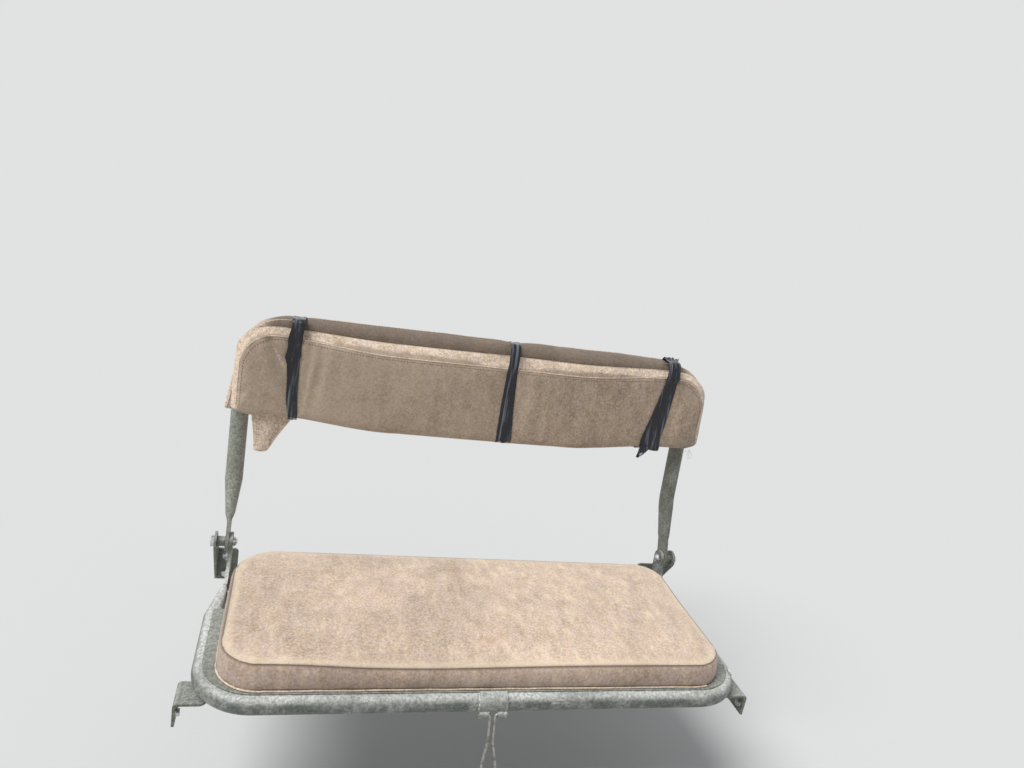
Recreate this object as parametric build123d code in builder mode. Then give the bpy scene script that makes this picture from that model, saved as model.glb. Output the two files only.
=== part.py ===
"""Folding rear bench seat of an open four-wheel-drive field car.

+X points to the right as seen from the front seats, +Y to the rear of the car and +Z up.  The origin
is the centre of the four bolts that hold the two pivot brackets to the rear panel, whose face is the
plane Y = 0.  All sizes are millimetres.
"""

from math import asin, cos, degrees, hypot, radians, sin
import os

from build123d import *

# Tubes
tube_diameter = 30.0
flat_thickness = 6.0          # a tube end pressed flat
flat_width = 34.0
knee_thickness = 15.5         # part way from flat to round
knee_width = 33.0
knee_length = 14.0            # from the flat to this knee
press_length = 74.0           # from the flat to where the tube is round

# Fits between pieces
pin_clearance = 0.1           # radial, round the pivot bolt
slide_clearance = 0.3         # between faces that turn past each other
rest_clearance = 0.3          # between pieces that only lie on each other

# Pivot brackets on the rear panel: each flange is low, out of the folding back's way,
# and its lug rises outboard of both tube ends
pivot_forward = 64.0          # from the rear panel to the pivot axis
pivot_up = 80.0               # from the middle of the panel bolts to the pivot axis
pivot_bolt_diameter = 10.0
bracket_thickness = 4.0
flange_width = 39.0
flange_height = 64.0
lug_radius = 17.0
panel_bolt_edge = 19.2        # from the lug's outboard face in to the panel bolts
panel_bolt_spacing_z = 36.0
panel_bolt_hole = 8.5
bush_length = 14.1            # between the back frame's flat and the lug
bush_diameter = 18.0
bolt_head_diameter = 18.0
bolt_head_height = 7.6
nut_width = 17.0
nut_height = 6.0
thread_end = 1.0              # of the bolt, past its nut

# Seat frame
seat_drop = 64.0              # from the pivot axis down to the plane of the seat tube
seat_depth = 346.0            # from the pivot axis forward to the front tube
seat_tube_spacing = 861.0     # between the centre lines of the two side tubes
seat_flat_inset = 13.0        # of the flats' inboard faces, from those centre lines
seat_corner_radius = 77.0

# Pan and rear rail
pan_thickness = 1.5
pan_gap = 0.2                 # between the tube's crown and the pan's rim
pan_overlap = 1.0             # of the rim, past the crown
pan_shoulder_radius = 14.0
pan_rear_inset = 6.5          # between the pan and the flattened frame ends
pan_rear_set = 13.0           # from the pivot axis forward to the pan's rear edge
bead_count = 3
bead_width = 26.0
bead_depth = 5.0
bead_margin = 70.0            # from a bead's end to the side tube
drain_hole_diameter = 22.0
drain_hole_count = 6
rail_leg = 24.0
rail_thickness = 2.5

# Seat cushion
cushion_width = 811.0
cushion_depth = 328.0
cushion_boxing = 35.0         # height of its sewn side wall
cushion_crown = 12.0
cushion_front_radius = 62.0   # of its corners in plan
cushion_rear_radius = 84.0
cushion_front_set = 10.0      # from the front tube's centre line back to the cushion's front
cushion_side_set = -5.0       # it lies a little to the left

# Back frame
back_tube_inset = 3.5         # of each leg's centre line, from the seat tube's
back_bend_up = 117.0          # the bend in each leg, above the pivot
back_bend_rear = 41.0
back_top_up = 367.0           # the top tube, above the pivot
back_top_rear = 63.0
back_bend_radius = 90.0
back_corner_radius = 60.0
back_bend_set = 14.0          # from the pressed end's root up to the bend's corner

# Back pad, folded over the top tube
pad_front_thickness = 24.0
pad_rear_thickness = 18.0
pad_top_thickness = 17.0
pad_height = 174.0
pad_overhang = 18.0           # past the centre line of each leg
pad_corner_radius = 46.0
pad_edge_radius = 11.0
pad_gap = 0.3                 # between the tube and the soft pad

# Tape bands round the folded pad
tape_width = 25.0
tape_thickness = 1.2
tape_places = {"left": -341.0, "middle": 43.0, "right": 348.0}

# Front rests on the wheelhouse walls
wall_gap = 16.5               # between the seat tube and the wheelhouse wall
rest_thickness = 4.0
rest_length = 50.0
rest_height = 38.0
rest_lap = 13.5               # past the side tube's centre line
rest_from_front = 45.0        # from the front tube's centre line back to the rest's middle
rest_bolt_spacing = 28.0
rest_bolt_drop = 22.0         # from the rest's top down to its bolts
rest_bolt_hole = 6.6
rest_bend_radius = 6.0

# Latch plate on the front tube
latch_x = -4.0
latch_width = 43.0
latch_thickness = 3.5
latch_gap = 0.1
ear_angle = 213.0             # round the tube from its rear side, through the top and the front
ear_diameter = 11.0
ear_spread = 16.0             # free width between the two ears

# Wire loop that hangs in the ears
wire_diameter = 5.0
wire_clearance = 0.3
loop_neck_width = 7.8
loop_neck_length = 50.0
loop_width = 22.0
loop_length = 128.0
loop_shoulder = 42.0          # from the neck's end down to the loop's full width
loop_lean = 12.0              # of the loop's end to the right, where use has bent it
wire_end = 1.5                # of the wire, outside each ear

# Places worked out from the sizes above
tube_radius = tube_diameter / 2
pivot_y = -pivot_forward
pivot_hole_radius = pivot_bolt_diameter / 2 + pin_clearance
pivot_z = pivot_up
seat_z = pivot_z - seat_drop
front_y = pivot_y - seat_depth
side_x = seat_tube_spacing / 2
seat_flat_x = side_x - seat_flat_inset
back_flat_x = seat_flat_x + flat_thickness + slide_clearance
bush_x = back_flat_x + flat_thickness + slide_clearance
lug_x = bush_x + bush_length
lug_outer_x = lug_x + bracket_thickness
crown_z = seat_z + tube_radius
pan_z = crown_z + pan_gap
cushion_z = pan_z + pan_thickness + rest_clearance
seat_flat_y = pivot_y - seat_drop
seat_round_y = seat_flat_y - press_length
back_x = side_x - back_tube_inset
wall_x = side_x + tube_radius + wall_gap
rest_z = seat_z - tube_radius - rest_clearance
ear_reach = tube_radius + latch_gap + ear_diameter / 2
ear_y = front_y + ear_reach * cos(radians(ear_angle))
ear_z = seat_z + ear_reach * sin(radians(ear_angle))

# The leg leans back from the pivot to its bend, and less above it
leg_length = hypot(back_bend_rear, back_bend_up)
leg_up = Vector(0, back_bend_rear, back_bend_up) / leg_length
leg_angle = degrees(asin(back_bend_up / leg_length))
back_flat_length = leg_length - back_bend_set - press_length
pivot = Vector(0, pivot_y, pivot_z)
bend = pivot + Vector(0, back_bend_rear, back_bend_up)
top = pivot + Vector(0, back_top_rear, back_top_up)
back_length = (top - bend).length
back_up = (top - bend) / back_length
press_steps = (  # distance from the flat, thickness, width
    (0, flat_thickness, flat_width),
    (knee_length, knee_thickness, knee_width),
    (press_length, tube_diameter, tube_diameter),
)
back_plane = Plane(origin=bend, x_dir=back_up.cross(Vector(1, 0, 0)), z_dir=(1, 0, 0))


def save(part, name):
    """Labels a finished piece and writes it to its own file."""
    part.label = name
    export_step(part, f"parts/{name}.step")


def save_pair(part, name):
    """Writes the piece modelled for the right side, and its mirror image for the left."""
    save(part, f"{name}_right")
    save(part.mirror(Plane.YZ), f"{name}_left")


def make_pivot_bracket():
    """Angle bracket: a flange on the rear panel, and a lug that rises to the pivot bolt."""
    with BuildPart() as bracket:
        with BuildSketch(Plane.XZ):
            with Locations((lug_outer_x - flange_width / 2, 0)):
                Rectangle(flange_width, flange_height)
            with Locations((lug_outer_x - panel_bolt_edge, 0)):
                with GridLocations(1, panel_bolt_spacing_z, 1, 2):
                    Circle(panel_bolt_hole / 2, mode=Mode.SUBTRACT)
        extrude(amount=bracket_thickness)
        fillet(bracket.edges().filter_by(Axis.Y).sort_by(Axis.X)[:2], flange_height / 8)
        with BuildSketch(Plane.YZ.offset(lug_x)):
            with Locations((-bracket_thickness / 2, 0)):
                Rectangle(bracket_thickness, flange_height)
            with Locations((pivot_y, pivot_z)):
                Circle(lug_radius)
            make_hull()
            with Locations((pivot_y, pivot_z)):
                Circle(pivot_hole_radius, mode=Mode.SUBTRACT)
        extrude(amount=bracket_thickness)
    return bracket.part


def make_pivot_bush():
    """Spacer bush between the lug and the back frame's flattened end."""
    with BuildPart() as bush:
        with BuildSketch(Plane.YZ.offset(bush_x)):
            with Locations((pivot_y, pivot_z)):
                Circle(bush_diameter / 2)
                Circle(pivot_hole_radius, mode=Mode.SUBTRACT)
        extrude(amount=bush_length)
        rims = bush.edges().filter_by(GeomType.CIRCLE).group_by(SortBy.RADIUS)[-1]
        chamfer(rims, (bush_diameter / 2 - pivot_hole_radius) / 4)
    return bush.part


def make_pivot_bolt():
    """Pivot bolt: a domed head inboard, then both tube ends, bush and lug, and a nut outboard."""
    head_x = seat_flat_x - slide_clearance
    dome_radius = (bolt_head_diameter ** 2 / 4 + bolt_head_height ** 2) / (2 * bolt_head_height)
    with BuildPart() as bolt:
        with BuildSketch(Plane.XY.offset(pivot_z)):
            with BuildLine():
                rim = (head_x, pivot_y + bolt_head_diameter / 2)
                tip = (head_x - bolt_head_height, pivot_y)
                RadiusArc(rim, tip, -dome_radius)
                Polyline(tip, (head_x, pivot_y), rim)
            make_face()
        revolve(axis=Axis((0, pivot_y, pivot_z), (1, 0, 0)))
        with BuildSketch(Plane.YZ.offset(head_x)):
            with Locations((pivot_y, pivot_z)):
                Circle(pivot_bolt_diameter / 2)
        extrude(amount=lug_outer_x + nut_height + thread_end - head_x)
        with BuildSketch(Plane.YZ.offset(lug_outer_x)):
            with Locations((pivot_y, pivot_z)):
                RegularPolygon(nut_width / 2, 6, major_radius=False)
        extrude(amount=nut_height)
    return bolt.part


def make_front_rest():
    """Shelf bent from strip: it is bolted to the wheelhouse wall, and the frame's corner lies on it."""
    rest_y = front_y + rest_from_front
    inner = wall_x - rest_thickness
    tip_x = side_x - rest_lap
    with BuildPart() as rest:
        with BuildSketch(Plane.XZ.offset(-rest_y)):
            with BuildLine():
                FilletPolyline(
                    (wall_x, rest_z - rest_height),
                    (wall_x, rest_z),
                    (tip_x, rest_z),
                    (tip_x, rest_z - rest_thickness),
                    (inner, rest_z - rest_thickness),
                    (inner, rest_z - rest_height),
                    radius=(rest_bend_radius, 0, 0, rest_bend_radius - rest_thickness),
                )
                Line((inner, rest_z - rest_height), (wall_x, rest_z - rest_height))
            make_face()
        extrude(amount=rest_length / 2, both=True)
        fillet(rest.edges().filter_by(Axis.Z).sort_by(Axis.X)[:2], rest_lap * 0.8)
        with BuildSketch(Plane.YZ.offset(inner)):
            with Locations((rest_y, rest_z - rest_bolt_drop)):
                with GridLocations(rest_bolt_spacing, 1, 2, 1):
                    Circle(rest_bolt_hole / 2)
        extrude(amount=rest_thickness, mode=Mode.SUBTRACT)
    return rest.part


def make_seat_frame():
    """Tube bent into a U, with its rear ends pressed flat, set inboard and curved up to the pivots."""
    flat_middle = seat_flat_x + flat_thickness / 2
    with BuildPart() as frame:
        with BuildLine() as path:
            FilletPolyline(
                (-side_x, seat_round_y, seat_z),
                (-side_x, front_y, seat_z),
                (side_x, front_y, seat_z),
                (side_x, seat_round_y, seat_z),
                radius=seat_corner_radius,
            )
        with BuildSketch(Plane(origin=path.line @ 0, z_dir=path.line % 0)):
            Circle(tube_radius)
        sweep(path=path.line)
        for side in (-1, 1):
            for distance, thickness, width in press_steps:
                middle = flat_middle + (side_x - flat_middle) * distance / press_length
                with BuildSketch(Plane.XZ.offset(distance - seat_flat_y)):
                    with Locations((side * middle, seat_z)):
                        RectangleRounded(thickness, width, thickness * 0.49)
            loft(ruled=True)
            with BuildSketch(Plane.YZ.offset(side * flat_middle)):
                with BuildLine():
                    CenterArc((seat_flat_y, pivot_z), seat_drop, -90, 90)
                trace(line_width=flat_width)
                with Locations((pivot_y, pivot_z)):
                    Circle(flat_width / 2)
                    Circle(pivot_hole_radius, mode=Mode.SUBTRACT)
            extrude(amount=flat_thickness / 2, both=True)
    return frame.part


def make_seat_pan():
    """Thin pressed panel: its rim laps the tube's crown, and beads stiffen it."""
    rim_x = side_x + pan_overlap
    rim_front = front_y - pan_overlap
    rear_x = seat_flat_x - pan_rear_inset
    rear_y = pivot_y - pan_rear_set
    rim_radius = seat_corner_radius + pan_overlap
    bead_length = seat_tube_spacing - 2 * bead_margin
    bead_pitch = (rear_y - front_y) / (bead_count + 1)
    bead_places = [front_y + bead_pitch * (row + 1) for row in range(bead_count)]
    hole_rows = bead_count - 1
    hole_columns = drain_hole_count // hole_rows
    hole_pitch = bead_length / drain_hole_count * hole_rows
    with BuildPart() as pan:
        with BuildSketch(Plane.XY.offset(pan_z)):
            with BuildLine():
                FilletPolyline(
                    (-rim_x, rim_front),
                    (rim_x, rim_front),
                    (rim_x, seat_round_y),
                    (rear_x, seat_round_y),
                    (rear_x, rear_y),
                    (-rear_x, rear_y),
                    (-rear_x, seat_round_y),
                    (-rim_x, seat_round_y),
                    radius=(rim_radius, rim_radius, 0, 0, pan_shoulder_radius, pan_shoulder_radius, 0, 0),
                    close=True,
                )
            make_face()
        extrude(amount=pan_thickness)
        with BuildSketch(Plane.XY.offset(pan_z)):
            for bead_y in bead_places:
                with Locations((0, bead_y)):
                    SlotOverall(bead_length, bead_width)
        extrude(amount=-bead_depth)
        with BuildSketch(Plane.XY.offset(pan_z + pan_thickness)):
            for bead_y in bead_places:
                with Locations((0, bead_y)):
                    SlotOverall(bead_length - 2 * pan_thickness, bead_width - 2 * pan_thickness)
        extrude(amount=-bead_depth, mode=Mode.SUBTRACT)
        with BuildSketch(Plane.XY.offset(pan_z)):
            with Locations((0, (bead_places[0] + bead_places[-1]) / 2)):
                with GridLocations(hole_pitch, bead_pitch, hole_columns, hole_rows):
                    Circle(drain_hole_diameter / 2)
        extrude(amount=pan_thickness, mode=Mode.SUBTRACT)
    return pan.part


def make_rear_rail():
    """Angle rail between the frame's flattened ends, under the pan's rear edge."""
    rail_y = pivot_y - pan_rear_set - rail_leg / 4
    with BuildPart() as rail:
        with BuildSketch(Plane.YZ):
            with BuildLine():
                FilletPolyline(
                    (rail_y, pan_z),
                    (rail_y - rail_leg, pan_z),
                    (rail_y - rail_leg, pan_z - rail_leg),
                    (rail_y - rail_leg + rail_thickness, pan_z - rail_leg),
                    (rail_y - rail_leg + rail_thickness, pan_z - rail_thickness),
                    (rail_y, pan_z - rail_thickness),
                    radius=(rail_thickness, 0, 0, 0),
                )
                Line((rail_y, pan_z - rail_thickness), (rail_y, pan_z))
            make_face()
        extrude(amount=seat_flat_x, both=True)
    return rail.part


def make_latch_plate():
    """Plate wrapped over the front tube: its lower edge is rolled into two ears beside a notch."""
    inner = tube_radius + latch_gap
    outer = inner + latch_thickness
    rim_angle = 90 + degrees(asin((pan_overlap + rest_clearance) / inner))
    span = ear_angle - rim_angle
    with BuildPart() as plate:
        with BuildSketch(Plane.YZ.offset(latch_x)):
            with BuildLine():
                low = CenterArc((front_y, seat_z), inner, rim_angle, span)
                high = CenterArc((front_y, seat_z), outer, rim_angle, span)
                Line(low @ 0, high @ 0)
                Line(low @ 1, high @ 1)
            make_face()
            with Locations((ear_y, ear_z)):
                Circle(ear_diameter / 2)
                Circle(wire_diameter / 2 + wire_clearance, mode=Mode.SUBTRACT)
        extrude(amount=latch_width / 2, both=True)
        with BuildSketch(Plane.XZ.offset(-front_y)):
            with Locations((latch_x, ear_z)):
                Circle(ear_spread / 2)
            with Locations((latch_x, ear_z - ear_diameter / 2)):
                Rectangle(ear_spread, ear_diameter)
        extrude(amount=outer + ear_diameter, mode=Mode.SUBTRACT)
    return plate.part


def make_latch_wire():
    """Pear-shaped loop of wire: its two ends are turned out into the ears of the latch plate."""
    neck_x = loop_neck_width / 2
    wide_x = loop_width / 2
    end_x = latch_width / 2 + wire_end
    half = [
        (end_x, 0),
        (neck_x, 0),
        (neck_x, -loop_neck_length),
        (wide_x, -loop_neck_length - loop_shoulder),
        (wide_x, -loop_length),
    ]
    points = half + [(-x, z) for x, z in reversed(half)]
    leaning = [(x - z / loop_length * loop_lean, z) for x, z in points]
    bends = (4, 40, 40, loop_width / 2.1)
    with BuildPart() as wire:
        with BuildLine(Plane(origin=(latch_x, ear_y, ear_z), x_dir=(1, 0, 0), z_dir=(0, -1, 0))) as path:
            FilletPolyline(*leaning, radius=bends + tuple(reversed(bends)))
        with BuildSketch(Plane(origin=path.line @ 0, z_dir=path.line % 0)):
            Circle(wire_diameter / 2)
        sweep(path=path.line)
    return wire.part


def make_seat_cushion():
    """Box cushion: rounded in plan, with an upright side wall and a crowned top."""
    middle_y = front_y + cushion_front_set + cushion_depth / 2
    full_height = cushion_boxing + cushion_crown
    with BuildPart() as cushion:
        with BuildSketch(Plane.XY.offset(cushion_z)):
            with Locations((cushion_side_set, middle_y)):
                Rectangle(cushion_width, cushion_depth)
        extrude(amount=full_height)
        corners = cushion.edges().filter_by(Axis.Z).group_by(Axis.Y)
        fillet(corners[0], cushion_front_radius)
        fillet(corners[-1], cushion_rear_radius)
        side_view = (Plane.YZ.offset(cushion_side_set), middle_y, cushion_depth, cushion_width)
        front_view = (Plane.XZ.offset(-middle_y), cushion_side_set, cushion_width, cushion_depth)
        for plane, centre, width, reach in (side_view, front_view):
            radius = (width ** 2 / 4 + cushion_crown ** 2) / (2 * cushion_crown)
            half_angle = degrees(asin(width / 2 / radius)) + 1
            with BuildSketch(plane):
                with BuildLine():
                    arc_middle = (centre, cushion_z + full_height - radius)
                    arc = CenterArc(arc_middle, radius, 90 + half_angle, -2 * half_angle)
                    Polyline(arc @ 0, ((arc @ 0).X, cushion_z), ((arc @ 1).X, cushion_z), arc @ 1)
                make_face()
            extrude(amount=reach, both=True, mode=Mode.INTERSECT)
    return cushion.part


def make_back_frame():
    """Tube bent into an upturned U: each leg has a bend, and ends in a flat outboard of the seat's."""
    flat_middle = back_flat_x + flat_thickness / 2
    flat_end = pivot + leg_up * back_flat_length
    round_end = flat_end + leg_up * press_length
    with BuildPart() as frame:
        with BuildLine() as path:
            FilletPolyline(
                (-back_x, round_end.Y, round_end.Z),
                (-back_x, bend.Y, bend.Z),
                (-back_x, top.Y, top.Z),
                (back_x, top.Y, top.Z),
                (back_x, bend.Y, bend.Z),
                (back_x, round_end.Y, round_end.Z),
                radius=(back_bend_radius, back_corner_radius, back_corner_radius, back_bend_radius),
            )
        with BuildSketch(Plane(origin=path.line @ 0, z_dir=path.line % 0)):
            Circle(tube_radius)
        sweep(path=path.line)
        for side in (-1, 1):
            for distance, thickness, width in press_steps:
                middle = flat_middle + (back_x - flat_middle) * distance / press_length
                place = flat_end + leg_up * distance + Vector(side * middle, 0, 0)
                with BuildSketch(Plane(origin=place, x_dir=(1, 0, 0), z_dir=leg_up)):
                    RectangleRounded(thickness, width, thickness * 0.49)
            loft(ruled=True)
            with BuildSketch(Plane.YZ.offset(side * flat_middle)):
                with Locations(((pivot_y + flat_end.Y) / 2, (pivot_z + flat_end.Z) / 2)):
                    SlotCenterToCenter(back_flat_length, flat_width, rotation=leg_angle)
                with Locations((pivot_y, pivot_z)):
                    Circle(pivot_hole_radius, mode=Mode.SUBTRACT)
            extrude(amount=flat_thickness / 2, both=True)
    return frame.part


pad_front = tube_radius + pad_gap + pad_front_thickness
pad_rear = tube_radius + pad_gap + pad_rear_thickness
pad_top = back_length + tube_radius + pad_gap + pad_top_thickness


def pad_outline(grow):
    """The folded pad's outline in the sketch of the back's plane, grown by a margin."""
    with Locations(((pad_rear - pad_front) / 2, pad_top - pad_height / 2)):
        RectangleRounded(pad_front + pad_rear + 2 * grow, pad_height + 2 * grow, pad_edge_radius + grow)


def make_back_pad():
    """Canvas pad folded over the top tube, open below, with rounded upper corners."""
    half_width = back_x + pad_overhang
    opening = tube_radius + pad_gap
    with BuildPart() as pad:
        with BuildSketch(back_plane):
            pad_outline(0)
            with Locations((0, back_length)):
                Circle(opening, mode=Mode.SUBTRACT)
            with Locations((0, back_length / 2)):
                Rectangle(2 * opening, back_length, mode=Mode.SUBTRACT)
        extrude(amount=half_width, both=True)
        with BuildSketch(Plane(origin=bend, x_dir=(1, 0, 0), z_dir=Vector(1, 0, 0).cross(back_up))):
            with BuildLine():
                FilletPolyline(
                    (-half_width, 0),
                    (half_width, 0),
                    (half_width, pad_top),
                    (-half_width, pad_top),
                    radius=(0, 0, pad_corner_radius, pad_corner_radius),
                    close=True,
                )
            make_face()
        extrude(amount=pad_front + pad_rear, both=True, mode=Mode.INTERSECT)
    return pad.part


def make_tape(place):
    """Band of tape drawn round the folded pad."""
    with BuildPart() as tape:
        with BuildSketch(back_plane.offset(place)):
            pad_outline(pad_gap + tape_thickness)
            with Locations(((pad_rear - pad_front) / 2, pad_top - pad_height / 2)):
                RectangleRounded(
                    pad_front + pad_rear + 2 * pad_gap,
                    pad_height + 2 * pad_gap,
                    pad_edge_radius + pad_gap,
                    mode=Mode.SUBTRACT,
                )
        extrude(amount=tape_width / 2, both=True)
    return tape.part


os.makedirs("parts", exist_ok=True)
save_pair(make_pivot_bracket(), "pivot_bracket")
save_pair(make_pivot_bush(), "pivot_bush")
save_pair(make_pivot_bolt(), "pivot_bolt")
save_pair(make_front_rest(), "front_rest")
save(make_seat_frame(), "seat_frame")
save(make_seat_pan(), "seat_pan")
save(make_rear_rail(), "rear_rail")
save(make_latch_plate(), "latch_plate")
save(make_latch_wire(), "latch_wire")
save(make_seat_cushion(), "seat_cushion")
save(make_back_frame(), "back_frame")
save(make_back_pad(), "back_pad")
for name, place in tape_places.items():
    save(make_tape(place), f"tape_{name}")
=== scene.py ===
# %% [markdown]
# This lesson dresses the folding rear bench seat of an open field car. The tubes, brackets, pan and
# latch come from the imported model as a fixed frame, and they only get their paint and metal here. The
# canvas, the tape, the welds and the small bolts are new meshes. Everything is in metres, with +X to
# the right, +Y to the rear and +Z up.

from math import atan2, cos, degrees, exp, hypot, pi, radians, sin, sqrt, tanh

import bmesh
import bpy
from mathutils import Matrix, Vector, noise
from mathutils.bvhtree import BVHTree
from mathutils.kdtree import KDTree


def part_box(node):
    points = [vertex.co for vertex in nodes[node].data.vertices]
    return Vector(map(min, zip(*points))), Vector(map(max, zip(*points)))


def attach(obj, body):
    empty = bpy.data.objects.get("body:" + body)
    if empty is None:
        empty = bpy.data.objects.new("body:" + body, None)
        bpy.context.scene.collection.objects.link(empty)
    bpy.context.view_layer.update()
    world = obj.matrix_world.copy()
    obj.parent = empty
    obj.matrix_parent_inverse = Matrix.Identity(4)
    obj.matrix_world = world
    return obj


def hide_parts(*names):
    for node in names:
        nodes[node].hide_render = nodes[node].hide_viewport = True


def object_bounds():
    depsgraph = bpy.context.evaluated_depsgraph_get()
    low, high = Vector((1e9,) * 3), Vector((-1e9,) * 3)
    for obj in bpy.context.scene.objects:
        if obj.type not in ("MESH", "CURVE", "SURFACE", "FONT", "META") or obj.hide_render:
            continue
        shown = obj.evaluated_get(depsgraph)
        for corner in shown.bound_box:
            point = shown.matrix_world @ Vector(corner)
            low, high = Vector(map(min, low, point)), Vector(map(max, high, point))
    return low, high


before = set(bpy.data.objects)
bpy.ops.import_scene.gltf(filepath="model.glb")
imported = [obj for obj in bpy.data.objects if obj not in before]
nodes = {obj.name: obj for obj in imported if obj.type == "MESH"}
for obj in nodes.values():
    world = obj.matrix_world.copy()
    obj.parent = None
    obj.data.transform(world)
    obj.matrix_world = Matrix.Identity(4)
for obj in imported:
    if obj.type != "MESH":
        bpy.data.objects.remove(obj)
cad_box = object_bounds()
mm = 0.001
print("nodes:", len(nodes), "box:", [tuple(round(value, 3) for value in corner) for corner in cad_box])

# %% [markdown]
# The camera stands where the photographer held theirs, between the front seats, looking down and to
# the right with the picture tilted. A lens can be given in millimetres against a sensor width, or as a
# focal length in pixels of a picture 1024 wide. The second is what a fit to the photograph yields.

# %% Place the camera
picture_width = 1024
focal_pixels = 776
camera_place = Vector((-0.3460, -1.3711, 0.8021))
camera_yaw = radians(16.45)
camera_pitch = radians(15.56)
camera_roll = radians(10.31)

camera_data = bpy.data.cameras.new("camera")
camera_data.sensor_width = 36
camera_data.lens = focal_pixels / picture_width * camera_data.sensor_width
camera = bpy.data.objects.new("camera", camera_data)
bpy.context.scene.collection.objects.link(camera)
camera.matrix_world = (
    Matrix.Translation(camera_place)
    @ Matrix.Rotation(-camera_yaw, 4, "Z")
    @ Matrix.Rotation(pi / 2 - camera_pitch, 4, "X")
    @ Matrix.Rotation(camera_roll, 4, "Z")
)
bpy.context.scene.camera = camera
bpy.context.scene.view_settings.view_transform = "Standard"
print("lens:", round(camera_data.lens, 2), "mm")

# %% [markdown]
# A shader is built from many small nodes, so a few helpers keep that readable: one adds a node and
# fills its inputs, one does arithmetic, and one starts a material with the numbers that don't vary.

# %% Helpers for nodes
def rgb(red, green, blue):
    return (red, green, blue, 1.0)


def add(tree, kind, inputs=None, **settings):
    """Adds a node; an input is a value or another node's output, by name or by number."""
    made = tree.nodes.new("ShaderNode" + kind)
    for name, value in settings.items():
        setattr(made, name, value)
    for key, value in (inputs or {}).items():
        if isinstance(value, bpy.types.NodeSocket):
            tree.links.new(value, made.inputs[key])
        else:
            made.inputs[key].default_value = value
    return made


def reckon(tree, operation, *values):
    return add(tree, "Math", dict(enumerate(values)), operation=operation).outputs[0]


def start_material(name, **constants):
    """A material with its shader; numbers that are the same all over go on the shader's own sockets."""
    made = bpy.data.materials.new(name)
    made.use_nodes = True
    shader = made.node_tree.nodes["Principled BSDF"]
    for socket_name, value in constants.items():
        shader.inputs[socket_name.replace("_", " ")].default_value = value
    return made, made.node_tree, shader

# %% [markdown]
# The seat stands in a plain studio. A floor in a small room shows a hard line where it meets the wall,
# and lamps close by leave dark corners. A wide floor under one very soft sun and an even sky has
# neither: the sky that the camera sees is simply as pale as the lit floor.

# %% Floor, sky and lamp
floor_drop = 0.125
floor_size = 60.0
floor_colour = (0.62, 0.62, 0.62)
sky_light = (0.97, 0.985, 1.0)
sky_strength = 0.42
sun_strength = 3.0
sun_softness = radians(38)
sun_from = Vector((-0.60, -0.16, 1.0)).normalized()
floor_light = [sun_strength * sun_from.z / pi + sky_strength * share for share in sky_light]
backdrop_colour = rgb(*(colour * light for colour, light in zip(floor_colour, floor_light)))

floor_mesh = bmesh.new()
bmesh.ops.create_grid(floor_mesh, x_segments=1, y_segments=1, size=floor_size)
bmesh.ops.translate(floor_mesh, verts=floor_mesh.verts, vec=(0, 0, cad_box[0][2] - floor_drop))
floor_data = bpy.data.meshes.new("floor")
floor_mesh.to_mesh(floor_data)
floor = bpy.data.objects.new("floor", floor_data)
bpy.context.scene.collection.objects.link(floor)
matt = start_material("floor", Base_Color=rgb(*floor_colour), Roughness=1.0, Specular_IOR_Level=0.0)
floor_data.materials.append(matt[0])

sun_data = bpy.data.lights.new("sun", "SUN")
sun_data.energy = sun_strength
sun_data.angle = sun_softness
sun = bpy.data.objects.new("sun", sun_data)
sun.rotation_mode = "QUATERNION"
sun.rotation_quaternion = sun_from.to_track_quat("Z", "Y")
bpy.context.scene.collection.objects.link(sun)

world = bpy.data.worlds.new("studio")
bpy.context.scene.world = world
world.use_nodes = True
sky = world.node_tree
sky.nodes.clear()
ray = add(sky, "LightPath")
seen = reckon(sky, "MAXIMUM", ray.outputs["Is Camera Ray"], ray.outputs["Is Glossy Ray"])
seen = reckon(sky, "MAXIMUM", seen, ray.outputs["Is Transmission Ray"])
light = add(sky, "Background", {"Color": rgb(*sky_light), "Strength": sky_strength})
backdrop = add(sky, "Background", {"Color": backdrop_colour, "Strength": 1.0})
choice = add(sky, "MixShader", {0: seen, 1: light.outputs[0], 2: backdrop.outputs[0]})
add(sky, "OutputWorld", {"Surface": choice.outputs[0]})
print("floor at", round(cad_box[0][2] - floor_drop, 3))

# %% [markdown]
# Old field paint is one effect on many pieces: a dull olive that clouds and fades where it faces up,
# with painted light on those upward sides too, grit in the grain, pale scratches, and chips down to grey
# primer or rust. A texture painted by hand would need an unwrap of every tube. A node group that works
# from each piece's own coordinates gives all of them the same history, with their own colours and their
# own share of chips. The helpers for it serve all the finishes: noise is remapped to a share, and the
# share mixes two colours.

# %% Helpers for patterns
def remap(tree, value, low, high, to_low=0.0, to_high=1.0):
    """Turns the span from low to high into another span, with eased ends."""
    inputs = {"Value": value, "From Min": low, "From Max": high, "To Min": to_low, "To Max": to_high}
    return add(tree, "MapRange", inputs, interpolation_type="SMOOTHSTEP").outputs["Result"]


def mix(tree, share, first, second, blend="MIX"):
    return add(tree, "Mix", {0: share, 6: first, 7: second}, data_type="RGBA", blend_type=blend).outputs[2]


def shaded(tree, colour, shade):
    """The colour times a number: below 1 it is darker, above 1 lighter."""
    grey = add(tree, "CombineXYZ", {0: shade, 1: shade, 2: shade}).outputs[0]
    return mix(tree, 1.0, colour, grey, "MULTIPLY")


def speckle(tree, place, scale, detail=3.0, rough=0.5):
    inputs = {"Vector": place, "Scale": scale, "Detail": detail, "Roughness": rough}
    return add(tree, "TexNoise", inputs).outputs["Fac"]


def stretched(tree, place, x, y, z):
    """The same place with its axes scaled, so that a pattern runs long one way."""
    return add(tree, "VectorMath", {0: place, 1: (x, y, z)}, operation="MULTIPLY").outputs[0]


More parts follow.
